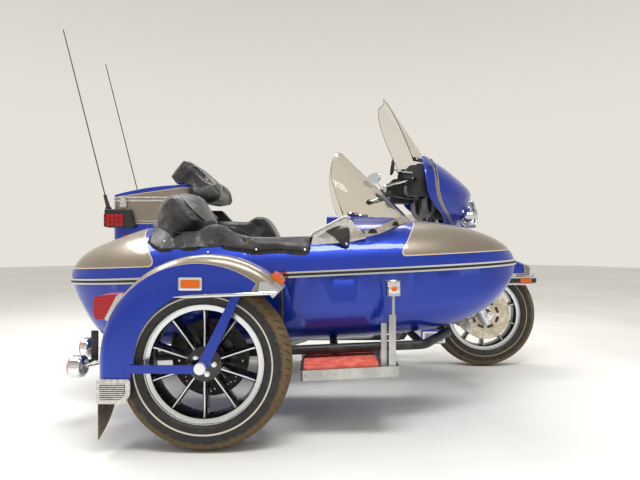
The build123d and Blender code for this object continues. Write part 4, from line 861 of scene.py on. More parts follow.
class SidecarSettings(bpy.types.PropertyGroup):
    wheels: PointerProperty(name="Wheels", description="Sizes of the wheels", type=WheelSizes)
    studio: PointerProperty(name="Studio", description="Camera and lamps", type=StudioSettings)


def settings():
    """The scene's own sizes."""
    return bpy.context.scene.sidecar_motorcycle


# Each overhead lamp: its name, place, length and share of the power
LAMP_ROWS = (
    ("overhead_front", (200, -2300, 3400), 2.2, 1.35),
    ("overhead_back", (-300, 700, 3400), 3.0, 1.25),
    ("overhead_side", (-2400, -700, 3000), 2.0, 0.8),
)
LAMP_DEPTH = 0.7
LAMP_AIM = (0, -500, 500)
FLOOR_RADIUS = 14.0
SENSOR = 36


class SIDECAR_OT_studio(bpy.types.Operator):
    """Level camera at the photograph's angle, pale floor and soft overhead light"""
    bl_idname = "sidecar.studio"
    bl_label = "Studio"

    def execute(self, context):
        scene = context.scene
        studio = settings().studio
        camera = bpy.data.cameras.new("Camera")
        camera.lens = FOCAL / WIDE * SENSOR
        camera.sensor_width = SENSOR
        eye = bpy.data.objects.new("Camera", camera)
        eye.location = at(0, -1000 * studio.camera_distance, 1000 * studio.camera_height)
        eye.rotation_euler = (radians(90), 0, 0)
        scene.collection.objects.link(eye)
        scene.camera = eye
        bm = bmesh.new()
        bmesh.ops.create_circle(bm, cap_ends=True, segments=96, radius=FLOOR_RADIUS)
        mesh = bpy.data.meshes.new("floor")
        bm.to_mesh(mesh)
        bm.free()
        mesh.materials.append(FINISHES["studio_floor"])
        floor = bpy.data.objects.new("floor", mesh)
        floor.location.z = -0.0005
        scene.collection.objects.link(floor)
        for name, place, size, power in LAMP_ROWS:
            lamp = bpy.data.lights.new(name, "AREA")
            lamp.shape = "RECTANGLE"
            lamp.size = size
            lamp.size_y = LAMP_DEPTH
            lamp.energy = studio.light * power
            holder = bpy.data.objects.new(name, lamp)
            holder.location = at(*place)
            holder.rotation_euler = (at(*LAMP_AIM) - at(*place)).to_track_quat("-Z", "Y").to_euler()
            scene.collection.objects.link(holder)
        world = bpy.data.worlds.new("studio")
        scene.world = world
        world.use_nodes = True
        tree = world.node_tree
        tree.nodes.clear()
        rays = add(tree, "ShaderNodeLightPath")
        sky = add(tree, "ShaderNodeTexCoord").outputs["Generated"]
        up = add(tree, SPLIT, (sky,)).outputs[2]
        ceiling = fade(tree, up, 0.15, 0.9, srgb("#e6e2da"), srgb("#a3a19c"))
        seen = add(tree, "ShaderNodeBackground", (ceiling, 1.0))
        glow = add(tree, RANGE, (up, -0.2, 0.9, 0.22, 0.95))
        lit = add(tree, "ShaderNodeBackground", (srgb("#f6f2ec"), glow))
        direct = rays.outputs["Is Camera Ray"]
        for kind in ("Is Glossy Ray", "Is Transmission Ray"):
            direct = add(tree, MATH, (direct, rays.outputs[kind]), operation="MAXIMUM")
        add(tree, "ShaderNodeOutputWorld", (add(tree, "ShaderNodeMixShader", (direct, lit, seen)),))
        scene.view_settings.view_transform = "Standard"
        return {"FINISHED"}


class SIDECAR_OT_coats(bpy.types.Operator):
    """Give every carried-over solid its finish"""
    bl_idname = "sidecar.coats"
    bl_label = "Finishes"

    def execute(self, context):
        for coat, nodes in COATS.items():
            for node in nodes.split():
                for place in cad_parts[node].material_slots:
                    place.material = FINISHES[coat]
        return {"FINISHED"}


# Wheels

def arc_points(a, b, c, count):
    """Points on the circular arc from a through b to c."""
    (ax, ay), (bx, by), (cx, cy) = a, b, c
    d = 2 * (ax * (by - cy) + bx * (cy - ay) + cx * (ay - by))
    p, q, r = ax * ax + ay * ay, bx * bx + by * by, cx * cx + cy * cy
    ux = (p * (by - cy) + q * (cy - ay) + r * (ay - by)) / d
    uy = (p * (cx - bx) + q * (ax - cx) + r * (bx - ax)) / d
    start = atan2(ay - uy, ax - ux)
    sweep = (atan2(cy - uy, cx - ux) - start) % (2 * pi)
    if (atan2(by - uy, bx - ux) - start) % (2 * pi) > sweep:
        sweep -= 2 * pi
    radius = hypot(ax - ux, ay - uy)
    return [(ux + radius * cos(start + sweep * i / count), uy + radius * sin(start + sweep * i / count))
            for i in range(count + 1)]


TREAD_BLOCKS = 64
GROOVE_LINES = (-0.015, 0.015)
GROOVE_HALF, GROOVE_WALL = 0.0042, 0.0012
SHOULDER, CUT_SLANT, CUT_HALF, CUT_WALL = 0.019, 22, 0.13, 0.05
WAVE = 0.0028
TREAD_HALF, TREAD_FROM = 0.0545, 0.29
TYRE_STEPS = 704
# Half width and radius of the sidewall's widest place, of the shoulder and of the crown
TYRE_WIDE, TYRE_SHOULDER, TYRE_CROWN = (0.065, 0.2592), (0.052, 0.301), 0.315


def groove(y, angle):
    """Depth of the tread pattern at a place, from 0 on a block to 1 in a groove."""
    wave = WAVE * sin(TREAD_BLOCKS / 2 * angle)
    deep = 0.0
    for line in GROOVE_LINES:
        deep = max(deep, min(1.0, max(0.0, (GROOVE_HALF - abs(y - line - wave)) / GROOVE_WALL)))
    if abs(y) > SHOULDER:
        block = (TREAD_BLOCKS * angle / (2 * pi) + abs(y) * CUT_SLANT + (0.5 if y > 0 else 0)) % 1.0
        deep = max(deep, min(1.0, max(0.0, (CUT_HALF - abs(block - 0.5)) / CUT_WALL)))
    return deep


def sidewall_ring(r):
    """How far the two raised rings and the rim guard stand out of the sidewall at a radius."""
    if 0.2225 < r < 0.2275:
        return 0.0016
    return 0.0009 if 0.236 < r < 0.2395 or 0.2555 < r < 0.259 else 0.0


def tyre_mesh(centre, sizes):
    """Treaded tyre with a rim guard and two raised rings on each sidewall."""
    bead, half = sizes.rim_radius + 0.0004, sizes.rim_half
    side = [(y + sidewall_ring(r), r) for y, r in arc_points((half, bead), TYRE_WIDE, TYRE_SHOULDER, 22)]
    other = (-TYRE_SHOULDER[0], TYRE_SHOULDER[1])
    crown = arc_points(TYRE_SHOULDER, (0.0, TYRE_CROWN), other, 46)
    outline = side + crown[1:-1] + [(-y, r) for y, r in reversed(side)]
    outline += [(-half + 0.012, bead - 0.0126), (half - 0.012, bead - 0.0126)]
    bm = bmesh.new()
    rings = []
    for step in range(TYRE_STEPS):
        angle = 2 * pi * step / TYRE_STEPS
        ring = []
        for y, r in outline:
            if abs(y) < TREAD_HALF and r > TREAD_FROM:
                r -= sizes.tread_depth * groove(y, angle)
            ring.append(bm.verts.new(centre + Vector((r * sin(angle), y, r * cos(angle)))))
        rings.append(ring)
    count = len(outline)
    for one, two in zip(rings, rings[1:] + rings[:1]):
        for i in range(count):
            j = (i + 1) % count
            bm.faces.new((one[i], two[i], two[j], one[j]))
    bmesh.ops.recalc_face_normals(bm, faces=bm.faces)
    return bm


# Half of the rim's section, from its flange: along the axle and radius, metres
RIM_SIDE = [(-0.0465, 0.2170), (-0.0520, 0.2166), (-0.0530, 0.2150), (-0.0524, 0.2128), (-0.0495, 0.2116),
            (-0.0470, 0.2106), (-0.0448, 0.1985), (-0.0436, 0.1956), (-0.0395, 0.1940), (-0.0300, 0.1918),
            (-0.0120, 0.1900)]
RIM_WELL = [(0.036, 0.2042), (-0.036, 0.2042)]
SPOKE_ROWS = (
    # radius, half width and half depth
    (0.050, 0.0105, 0.0360), (0.070, 0.0088, 0.0350), (0.110, 0.0072, 0.0325), (0.160, 0.0069, 0.0325),
    (0.188, 0.0074, 0.0360), (0.1925, 0.0112, 0.0390),
)


def spoke_shape(section):
    """One tapered spoke standing up from the axle, from the section that a row of the table gives."""
    shape = bmesh.new()
    skin_rows(shape, [[shape.verts.new((x, y, radius)) for x, y in section(half, depth)]
                      for radius, half, depth in SPOKE_ROWS])
    return shape


def spoke_faces(low, low_y, high, high_y):
    """A section with the same sloped face on both sides of the wheel, from its foot and its crest."""
    face = [(-low, low_y), (-high, high_y), (high, high_y), (low, low_y)]
    return face + [(-x, -y) for x, y in face]


def spoke_body(half, depth):
    """Black spoke whose two faces slope up to a narrow crest."""
    return spoke_faces(half, 0.007 - depth, 0.0026, -depth)


def spoke_crest(_, depth):
    """The bright turned crest, a hair wider and prouder than the black one on both faces."""
    return spoke_faces(0.0027, 0.0004 - depth, 0.0023, -0.0006 - depth)


def hex_bolt(across, height, washer=0.0):
    """A hexagon head whose axis is Y, facing -Y."""
    shape = bmesh.new()
    if washer:
        add_lathe(shape, [(0, 0), (0, washer), (-0.0012, washer), (-0.0014, 0)], 18, closed=False)
    add_prism(shape, ring_points(across / sqrt(3), 6), 0.0, height, UPRIGHT, bevel=across * 0.07, segments=1)
    return shape


def dome(radius, height):
    """A round head whose axis is Y, facing -Y."""
    shape = bmesh.new()
    bend = [(-height * sin(a), radius * cos(a)) for a in (0.35, 0.75, 1.15)]
    add_lathe(shape, [(0.0, 0.0), (0.0, radius)] + bend + [(-height, 0.0)], 14, closed=False)
    return shape


DISC_RADIUS, DISC_BORE, DISC_THICK, DISC_OUT = 0.146, 0.036, 0.005, 0.069
SLOTS, SLOT_RADIUS, SLOT_LONG, SLOT_WIDE = 8, 0.074, 0.039, 0.017
# The holes' angle from the middle between two slots, and their radius from the axle
DISC_HOLES = ((-0.115, 0.122), (0.0, 0.130), (0.115, 0.122))
HOLE_RADIUS = 0.0042


def disc_plate(bm, centre, y, skin):
    """Drilled brake disc with kidney slots, across the axle at y."""
    loops = [ring_points(DISC_RADIUS, 96), ring_points(DISC_BORE, 48)]
    slot = rounded(oblong(SLOT_LONG, SLOT_WIDE), SLOT_WIDE / 2, 5)
    for i in range(SLOTS):
        a = 2 * pi * (i + 0.5) / SLOTS
        loops.append([((SLOT_RADIUS + z) * sin(a) + x * cos(a), (SLOT_RADIUS + z) * cos(a) - x * sin(a))
                      for x, z in slot])
        for drift, radius in DISC_HOLES:
            b = a + pi / SLOTS + drift
            loops.append(ring_points(HOLE_RADIUS, 12, (radius * sin(b), radius * cos(b))))
    add_cut_plate(bm, loops, DISC_THICK, move(centre.x, centre.y + y, centre.z) @ UPRIGHT, skin, 0.0004)


# Along the axle and radius, metres
HUB = [(-0.046, 0.013), (-0.047, 0.030), (-0.0465, 0.044), (-0.040, 0.053), (-0.038, 0.062),
       (-0.030, 0.066), (0.030, 0.066), (0.038, 0.062), (0.040, 0.053), (0.0465, 0.044), (0.047, 0.030),
       (0.046, 0.013)]
PULLEY = [(0.046, 0.040), (0.046, 0.096), (0.066, 0.099), (0.068, 0.104), (0.090, 0.104), (0.091, 0.098),
          (0.078, 0.090), (0.078, 0.040)]
DISC_CARRIER = ((0.044, 0.030), (0.044, 0.050), (0.060, 0.056), (0.0625, 0.098), (0.0640, 0.098),
                (0.0650, 0.056), (0.067, 0.052), (0.067, 0.030))
BOLTS, BOLT_START = 5, 0.3

# Each wheel, its middle and the sides that carry a disc, -1 on the right
WHEELS = (("front", FRONT, (-1, 1)), ("rear", REAR, (-1,)), ("sidecar", SIDE, (1,)))


class SIDECAR_OT_wheels(bpy.types.Operator):
    """Three cast wheels with ten slim spokes, treaded tyres, drilled discs and the belt pulley"""
    bl_idname = "sidecar.wheels"
    bl_label = "Wheels"

    def execute(self, context):
        sizes = settings().wheels
        for wheel, centre, discs in WHEELS:
            body = wheel + "_wheel"
            make(wheel + "_tread_tyre", tyre_mesh(centre, sizes), [wheel + "_tyre_rubber"], body,
                 [wheel + "_tyre"], 28)
            place = move(*centre)
            bm = bmesh.new()
            outline = RIM_SIDE + [(-y, r) for y, r in reversed(RIM_SIDE)] + RIM_WELL
            skins = [1] * 7 + [0] * 7 + [1] * 7 + [0] * 3
            add_lathe(bm, outline, 160, place, skins=skins)
            add_lathe(bm, HUB, 64, place)
            if wheel == "rear":
                add_lathe(bm, PULLEY, 96, place)
            coats = ["black_enamel", "machined_edge"]
            make(wheel + "_cast_rim", bm, coats, body, [wheel + "_rim"])
            turns = around(centre, sizes.spokes)
            repeat(wheel + "_spokes", spoke_shape(spoke_body), turns, "black_enamel", body)
            repeat(wheel + "_spoke_crests", spoke_shape(spoke_crest), turns, "machined_edge", body)
            bm = bmesh.new()
            for side in discs:
                disc_plate(bm, centre, side * DISC_OUT, 0)
                add_lathe(bm, [(side * y, r) for y, r in DISC_CARRIER], 64, place, 1)
            # The sidecar's disc is coloured black as painted shade, for the shadow inside its cover; the other
            # discs are pale steel
            faces = "powder_coat" if wheel == "sidecar" else "turned_steel"
            make(wheel + "_discs", bm, [faces, "black_enamel"], body)
            rows = []
            for side in discs:
                for spot, angles in around(centre + Vector((0, side * 0.0716, 0)), BOLTS, 0.045, BOLT_START):
                    rows.append((spot, (0 if side < 0 else pi, angles[1], 0)))
            bolt = hex_bolt(0.012, 0.005, 0.009)
            repeat(wheel + "_disc_bolts", bolt, rows, "chrome_plate", body)
            if -1 not in discs:
                rows = around(centre + Vector((0, -0.0462, 0)), BOLTS, 0.036, BOLT_START)
                bolt = hex_bolt(0.013, 0.006, 0.010)
                repeat(wheel + "_hub_bolts", bolt, rows, "chrome_plate", body)
        return {"FINISHED"}


# Sidecar wheel cover, its lamps and its step

COVER_CENTRE = SIDE + Vector((COVER_SHIFT[0], 0, COVER_SHIFT[1]))
COVER_TOP, COVER_HALF, COVER_CORNER = 0.381, 0.088, 0.046
# Inner radii of the cover's walls: its lip over the tread, and the left-hand wall
LIP, FAR_WALL = 0.333, 0.330
# The skirt's straight rear edge and where it starts, then its edge over the axle and how that drops a degree
SKIRT_BACK, SKIRT_FROM = 0.2560, -97
SKIRT_EDGE, SKIRT_DROP = 0.2555, 0.000336
RAIL_HEIGHT, RAIL_SLOPE = 0.2465, 0.04


def cover_section(offset, near_wall, top):
    """Points round the wheel cover's outside, from its right-hand lip to its left-hand one."""
    side, top, corner = COVER_HALF + offset, top + offset, COVER_CORNER
    bend = corner * (1 - sqrt(0.5))
    a = arc_points((-side, top - corner), (-side + bend, top - bend), (-side + corner, top), 8)
    return [(-side, near_wall)] + a + [(-y, r) for y, r in reversed(a)] + [(side, FAR_WALL)]


def side_wall(a):
    """Inner radius of the right-hand side wall at an angle ahead of upright, in degrees."""
    ahead, up = sin(radians(a)), cos(radians(a))
    if a < SKIRT_FROM:
        return SKIRT_BACK / abs(ahead)
    rail = (RAIL_HEIGHT + 0.0004 - COVER_SHIFT[1]) / max(0.05, up - RAIL_SLOPE * ahead)
    curve = SKIRT_EDGE + SKIRT_DROP * (a + 30) - COVER_SHIFT[0] * ahead - COVER_SHIFT[1] * up
    return min(rail if a > 0 else min(rail, curve), LIP)


def cover_strip(bm, start, end, offset, thick, steps, walls):
    """A shell over the wheel cover between two angles; `walls` gives its right wall's radius at one."""
    shape = bmesh.new()
    rows = []
    for step in range(steps + 1):
        degrees = start + (end - start) * step / steps
        a = radians(degrees)
        top = COVER_TOP / abs(sin(a)) if degrees < -90 else COVER_TOP
        outer = cover_section(offset, walls(degrees), top)
        inner = cover_section(offset - thick, walls(degrees), top)
        rows.append([shape.verts.new((r * sin(a), y, r * cos(a))) for y, r in outer + inner[::-1]])
    skin_rows(shape, rows)
    merge(bm, shape, move(*COVER_CENTRE), 0)


# Ahead of the axle and above it, metres
STRUT_PLATE = [(-0.250, 0.0100), (-0.014, 0.0090), (0.107, 0.2505), (0.139, 0.2515), (0.0288, 0.0048),
               (0.0120, -0.0180), (-0.0100, -0.0215), (-0.250, -0.0190)]
RAIL_END = [(0.200, 0.2555), (0.258, 0.2555), (0.269, 0.2620), (0.2708, 0.2790), (0.2600, 0.2745),
            (0.232, 0.300), (0.205, 0.300)]
FRONT_MARKER = [(0.236, 0.313), (0.250, 0.331), (0.272, 0.318), (0.287, 0.290), (0.274, 0.278)]
TAIL_BEZEL = [(-0.3105, 0.2506), (-0.2880, 0.2575), (-0.2850, 0.2480), (-0.3370, 0.1540), (-0.3580, 0.1600)]
TAIL_LENS = [(-0.397, 0.238), (-0.380, 0.2465), (-0.3095, 0.2500), (-0.357, 0.1608), (-0.393, 0.1640)]
INSERT_LOW, INSERT_HIGH = (-0.3625, -0.1245), (-0.2460, -0.0400)
# Left of the wheel's middle and above it, metres
FLAP_EDGE = [(0.079, -0.112, 0), (0.074, -0.140, 0), (0.048, -0.182, 0), (0.002, -0.220, 0),
             (-0.055, -0.246, 0), (-0.080, -0.256, 0)]
# Round pieces: along the axis and radius, metres
AXLE_CAP = [(-0.0925, 0.0), (-0.0925, 0.0212), (-0.0975, 0.0212), (-0.1015, 0.0185), (-0.1035, 0.0120),
            (-0.1040, 0.0)]
INDICATOR_LENS = [(0.002, 0.0), (0.002, 0.0395), (-0.004, 0.0385), (-0.009, 0.033), (-0.0125, 0.020),
                  (-0.0135, 0.0)]
POST_LENS = [(-0.028, 0.0), (-0.028, 0.011), (-0.034, 0.009), (-0.036, 0.0)]
POST_RING = [(-0.003, 0.024), (-0.002, 0.0302), (0.002, 0.0302), (0.003, 0.024)]
POST_LAMP = [(0.0, 0.0), (0.0, 0.020), (0.004, 0.027), (0.012, 0.0292), (0.044, 0.0292), (0.052, 0.027),
             (0.058, 0.018), (0.0605, 0.0)]
# Radius of the black plate behind the sidecar's spokes, a sheet that stands for the shade there: painted shade
SHADE_PLATE_RADIUS = 0.374
# The rail along the cover's lower edge: rear end and length, then place to the right, depth and half height
RAIL_BACK, RAIL_LONG = -0.098, 0.36
RAIL_OUT, RAIL_DEEP, RAIL_HALF = 0.0885, 0.0085, 0.0075
# Places in the datum, millimetres
SIDE_MARKER = (-451, -1288, 608.5)
REAR_INDICATORS = ((-978, -1062, 262), (-1058, -800, 280))
POST_PLACE = (278, -1137)


class SIDECAR_OT_wheel_cover(bpy.types.Operator):
    """Wheel cover of the sidecar with its struts, rail, lamps, ribbed insert and mud flap"""
    bl_idname = "sidecar.wheel_cover"
    bl_label = "Wheel cover"

    def execute(self, context):
        place = move(*SIDE)
        view = place @ UPRIGHT
        bm = bmesh.new()
        cover_strip(bm, -110, 45, 0.0, 0.003, 93, side_wall)
        make("wheel_cover", bm, ["cover_paint"], "chassis", ["sidecar_fender"])
        # A black plate inside the cover behind the spokes, standing for the shade there: painted shade
        bm = bmesh.new()
        ahead, up = COVER_SHIFT
        arc = [(ahead + SHADE_PLATE_RADIUS * sin(radians(a)), up + SHADE_PLATE_RADIUS * cos(radians(a)))
               for a in range(-74, 47, 4)]
        add_cut_plate(bm, [arc], 0.002, place @ move(0, 0.0896, 0) @ UPRIGHT, bevel=0.0004)
        make("inner_guard", bm, ["powder_coat"], "chassis")
        bm = bmesh.new()
        add_prism(bm, STRUT_PLATE, 0.0886, 0.0945, view, bevel=0.0012)
        make("cover_struts", bm, ["blue_paint"], "chassis", ["fender_trim"])
        bm = bmesh.new()
        add_lathe(bm, AXLE_CAP, 40, place, closed=False)
        make("axle_cap", bm, ["satin_trim"], "chassis")
        bm = bmesh.new()
        shares = [i / 24 for i in range(25)]
        line = [Vector((RAIL_BACK + RAIL_LONG * t, -RAIL_OUT, RAIL_HEIGHT + RAIL_LONG * RAIL_SLOPE * t))
                for t in shares]
        section = [(RAIL_DEEP * sin(pi * i / 8), -RAIL_HALF * cos(pi * i / 8)) for i in range(9)]
        taper = [min(1.0, 0.12 + 5.5 * t) for t in shares]
        add_sweep(bm, line, section, place, scales=taper, up=(0, 0, 1))
        cover_strip(bm, 41, 46.5, 0.0034, 0.003, 6, lambda a: LIP)
        add_prism(bm, rounded(RAIL_END, 0.006), 0.086, 0.0925, view, bevel=0.002)
        make("cover_rail", bm, ["chrome_plate"], "chassis", ["sidecar_lamps"])
        bm = bmesh.new()
        add_prism(bm, rounded(FRONT_MARKER, 0.006), -0.050, 0.050, view, bevel=0.004)
        face = move(*at(*SIDE_MARKER)) @ UPRIGHT
        add_prism(bm, rounded(oblong(0.065, 0.029), 0.004), 0.002, 0.0138, face, bevel=0.0018)
        for back, y, z in REAR_INDICATORS:
            add_lathe(bm, INDICATOR_LENS, 40, move(*at(back, y, z)) @ turn(-90, "Z"), closed=False)
        add_lathe(bm, POST_LENS, 24, move(*at(*POST_PLACE, 578)), closed=False)
        make("amber_lamps", bm, ["amber_lens"], "chassis")
        bm = bmesh.new()
        frame_shape = [rounded(oblong(0.080, 0.043), 0.005), rounded(oblong(0.066, 0.030), 0.004)]
        add_cut_plate(bm, frame_shape, 0.011, face @ move(0, 0, 0.0064), bevel=0.0015)
        add_prism(bm, TAIL_BEZEL, -0.050, 0.050, view, bevel=0.004)
        for lamp_z in (552.5, 560.0, 604.0):
            ring = move(*at(*POST_PLACE, lamp_z)) @ turn(90, "X")
            add_lathe(bm, POST_RING, 48, ring)
        add_lathe(bm, POST_LAMP, 48, move(*at(*POST_PLACE, 551.5)) @ turn(90, "X"), closed=False)
        make("lamp_bezels", bm, ["chrome_plate"], "chassis")
        bm = bmesh.new()
        add_prism(bm, rounded(TAIL_LENS, 0.008), -0.046, 0.046, view, bevel=0.004)
        make("tail_lens", bm, ["ribbed_red_lens"], "chassis")
        bm = bmesh.new()
        (back, low), (front, high) = INSERT_LOW, INSERT_HIGH
        outer = [(back, low), (front - 0.022, low), (front, low + 0.030), (front, high), (back, high)]
        inner = [(back + 0.010, low + 0.014), (front - 0.030, low + 0.014), (front - 0.016, low + 0.034),
                 (front - 0.016, high - 0.013), (back + 0.010, high - 0.013)]
        loops = [rounded(outer, 0.010), rounded(inner, 0.008)]
        add_cut_plate(bm, loops, 0.0032, view @ move(0, 0, 0.0938), 0, 0.0008)
        add_prism(bm, inner, 0.0922, 0.0930, view, 1)
        make("cover_insert", bm, ["satin_trim", "black_rubber"], "chassis")
        rib = bmesh.new()
        add_block(rib, (-0.0430, -0.0012, -0.0020), (0.0430, 0.0012, 0.0020), bevel=0.0006, segments=1)
        rows = [(SIDE + Vector((-0.3085 - (0.004 if i < 2 else 0), -0.0940, -0.1055 + 0.0070 * i)), NO_TURN)
                for i in range(8)]
        repeat("cover_insert_ribs", rib, rows, "satin_trim", "chassis")
        bm = bmesh.new()
        outline = [(p.x, p.y) for p in smooth_path(FLAP_EDGE, 5)] + [(-0.080, -0.112)]
        add_prism(bm, outline, -0.3645, -0.3597, place @ ACROSS, bevel=0.0012)
        make("splash_flap", bm, ["flap_rubber"], "chassis", ["mud_flap"])
        rows = [(SIDE + Vector((x, -0.0956, z)), NO_TURN) for x, z in ((-0.300, -0.046), (-0.3500, -0.1175))]
        repeat("cover_screws", dome(0.0035, 0.002), rows, "chrome_plate", "chassis")
        return {"FINISHED"}


# Sidecar body

def eased(x, low, high):
    """0 below low, 1 over high, smooth between."""
    t = min(1.0, max(0.0, (x - low) / (high - low)))
    return t * t * (3 - 2 * t)


# How the photograph's tail differs from the solid's, in the body's own metres
SLIM_FROM, SLIM_LONG, SLIM = -0.350, 0.650, 0.30
RISE, RISE_STARTS, RISE_ENDS = 0.085, (-0.820, -0.620), (-0.560, -0.380)
SHORT_FROM, SHORT_LONG, SHORT = -0.450, 0.560, 0.95
UNDERCUT, UNDERCUT_TOP = 0.22, 0.040


def drawn_tail(own):
    """A point of the body in its own axes, with the tail shorter, slimmer and higher."""
    x, y, z = own
    if z > 0:
        z *= 1 + RISE * eased(x, *RISE_STARTS) * (1 - eased(x, *RISE_ENDS))
    y *= 1 - SLIM * min(1.0, max(0.0, (SLIM_FROM - x) / SLIM_LONG)) ** 2
    if x < SHORT_FROM:
        reach = (SHORT_FROM - x) / SHORT_LONG
        x = SHORT_FROM + (x - SHORT_FROM) * SHORT + UNDERCUT * max(0.0, UNDERCUT_TOP - z) * reach ** 1.5
    return Vector((x, y, z))


def body_form(name):
    """A CAD node of the body with its tail drawn in, as a mesh."""
    bm = node_copy(name)
    back = BODY.inverted()
    for vertex in bm.verts:
        vertex.co = BODY @ drawn_tail(back @ vertex.co)
    return bm


class SIDECAR_OT_body(bpy.types.Operator):
    """The sidecar's body and its belt strip"""
    bl_idname = "sidecar.body"
    bl_label = "Sidecar body"

    def execute(self, context):
        for name, node, coat, slot in (("body_shell", "sidecar_body", "body_paint", "blue"),
                                       ("belt_moulding", "belt_strip", "belt_trim", "chrome")):
            make(name, body_form(node), [coat], "chassis", [node], 30)
        return {"FINISHED"}


STEP_SLOPE = 2.8
STEP_FACE = -1150
MAT_RIBS = 31


class SIDECAR_OT_step(bpy.types.Operator):
    """Ribs of the coral mat and rivets of the boarding step"""
    bl_idname = "sidecar.step"
    bl_label = "Boarding step"

    def execute(self, context):
        low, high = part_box("step_mat")
        slope = tan(radians(STEP_SLOPE))
        centre = Vector(((low.x + high.x) / 2, (low.y + high.y) / 2, high.z))
        rib = bmesh.new()
        half = (high.y - low.y) / 2 - 0.008
        add_block(rib, (-0.0017, -half, 0.0), (0.0017, half, 0.0016), bevel=0.0006, segments=1)
        rows = []
        for i in range(MAT_RIBS):
            x = (high.x - low.x - 0.020) * (i / (MAT_RIBS - 1) - 0.5)
            rise = (x - (high.x - low.x) / 2) * slope - 0.0003
            rows.append((centre + Vector((x, 0, rise)), (0, -radians(STEP_SLOPE), 0)))
        repeat("mat_ribs", rib, rows, "coral_mat", "chassis")
        rows = [(at(x, STEP_FACE, 256 + (x - 113) * slope), NO_TURN) for x in range(-52, 279, 55)]
        repeat("step_rivets", dome(0.0045, 0.0022), rows, "brushed_aluminium", "chassis")
        return {"FINISHED"}


# Upholstery

def sight(tree, u, v):
    """Where the photograph's camera sees a surface at a pixel: the point and the way out of it."""
    way = Vector(((u - WIDE / 2) / FOCAL, 1.0, (TALL / 2 - v) / FOCAL))
    return tree.ray_cast(at(0, -EYE_AWAY, EYE_UP), way.normalized())[:2]


def seen_spots(tree, pixels):
    """The points and ways out of a surface for those pixels of the photograph that meet it."""
    found = [sight(tree, u, v) for u, v in pixels]
    return [(spot, normal) for spot, normal in found if spot]


def seen_at(u, v, depth):
    """The point of a pixel at a depth from the camera, in metres."""
    scale = 1000 * depth / FOCAL
    return at((u - WIDE / 2) * scale, 1000 * depth - EYE_AWAY, EYE_UP + (TALL / 2 - v) * scale)


def mirrored(point):
    """The same place on the sidecar's other side."""
    return Vector((point.x, 2 * BODY.translation.y - point.y, point.z))


TICKS = 20  # frames of the cloth simulation


def stuffed(name, node, voxel, pressure, cap, inset, part=None, swell=None):
    """A cushion blown up with cloth simulation from a CAD solid's slightly smaller copy."""
    scene = bpy.context.scene
    bm = node_copy(node)
    if part:
        bmesh.ops.delete(bm, geom=[v for v in bm.verts if not part(v.co)], context="VERTS")
    bm.normal_update()
    mesh = bpy.data.meshes.new(name)
    bm.to_mesh(mesh)
    bm.free()
    blank = bpy.data.objects.new(name + "_blank", mesh)
    scene.collection.objects.link(blank)
    grid = blank.modifiers.new("Grid", "REMESH")
    grid.mode = "VOXEL"
    grid.voxel_size = voxel
    soft = baked(blank)
    bpy.data.objects.remove(blank)
    for vertex, normal in zip(soft.vertices, [n.vector.copy() for n in soft.vertex_normals]):
        vertex.co -= normal * inset
    rest = [v.co.copy() for v in soft.vertices]
    body = bpy.data.objects.new(name + "_body", soft)
    scene.collection.objects.link(body)
    cloth = body.modifiers.new("Cloth", "CLOTH")
    cloth.settings.quality = 5
    cloth.settings.mass = 0.3
    cloth.settings.tension_stiffness = cloth.settings.compression_stiffness = 18
    cloth.settings.bending_stiffness = 1.2
    cloth.settings.use_pressure = True
    cloth.settings.uniform_pressure_force = pressure
    cloth.settings.effector_weights.gravity = 0.0
    cloth.point_cache.frame_start = 1
    cloth.point_cache.frame_end = TICKS
    for tick in range(1, TICKS + 1):
        scene.frame_set(tick)
    blown = baked(body)
    body.modifiers.remove(cloth)
    scene.frame_set(1)
    body.data = blown
    for vertex, place in zip(blown.vertices, rest):
        step = vertex.co - place
        if step.length > cap:
            vertex.co = place + step * (cap / step.length)
    if swell:
        for vertex in body.data.vertices:
            vertex.co += swell(vertex.co)
    finer = body.modifiers.new("Finer", "SUBSURF")
    finer.levels = 1
    finer.render_levels = 1
    result = baked(body)
    bpy.data.objects.remove(body)
    return result


def add_cords(bm, lines, radius, closed=False):
    """Piping sewn along some lines."""
    for line in lines:
        add_tube(bm, line, radius, sides=8, each=5, closed=closed)


# The cockpit's opening in the body's own axes, metres
OPENING_BACK, OPENING_FRONT, OPENING_HALF = -0.582, 0.282, 0.238
# The leather cover, metres: how deep its lining goes, its crown's place, its puff, folds and ripple
COVER_STEPS, LINING_DEEP = 10, 0.100
CROWN_IN, CROWN_UP = 0.011, 0.0015
PUFF, FOLD, RIPPLE = 0.009, 0.004, 0.0025
HIDE_THICK, HIDE_LIFT, HEM_LIFT = 0.0028, 0.004, 0.0055
# The lift of sewn seams, and how far under the cover's edge the black strip of painted shade lies
SEAM_LIFT, SHADE_STRIP_DROP = 0.0012, 0.009
DECK_NEAR = 0.06  # how far the deck may be from a read-off edge to be taken for it

# The leather cover over the sidecar's coaming, read off the photograph on its own depth planes
COVER_EDGE = [
    # pixel and depth of its upper line, pixel and depth of its lower edge
    (311.5, 236.7, 2.000, 310.6, 246.5, 1.980),
    (305.0, 236.6, 2.000, 305.0, 252.0, 1.974),
    (280.0, 237.2, 2.000, 280.0, 250.4, 1.976),
    (258.4, 237.6, 2.000, 256.2, 251.8, 1.974),
    (244.3, 236.0, 2.004, 243.2, 249.9, 1.976),
    (232.0, 232.4, 2.012, 230.0, 246.0, 1.980),
    (222.0, 226.5, 2.030, 220.0, 243.6, 1.985),
    (212.0, 224.5, 2.050, 208.5, 242.7, 1.988),
    (197.0, 230.5, 2.046, 195.5, 243.8, 1.990),
    (185.8, 231.8, 2.046, 184.0, 245.2, 1.992),
    (175.0, 232.5, 2.046, 172.5, 245.6, 2.000),
    (167.5, 231.0, 2.060, 165.5, 244.2, 2.020),
    (162.8, 226.5, 2.100, 160.2, 238.4, 2.090),
    (160.6, 222.5, 2.160, 157.0, 232.0, 2.160),
    (160.4, 219.5, 2.245, 154.2, 227.2, 2.245),
]


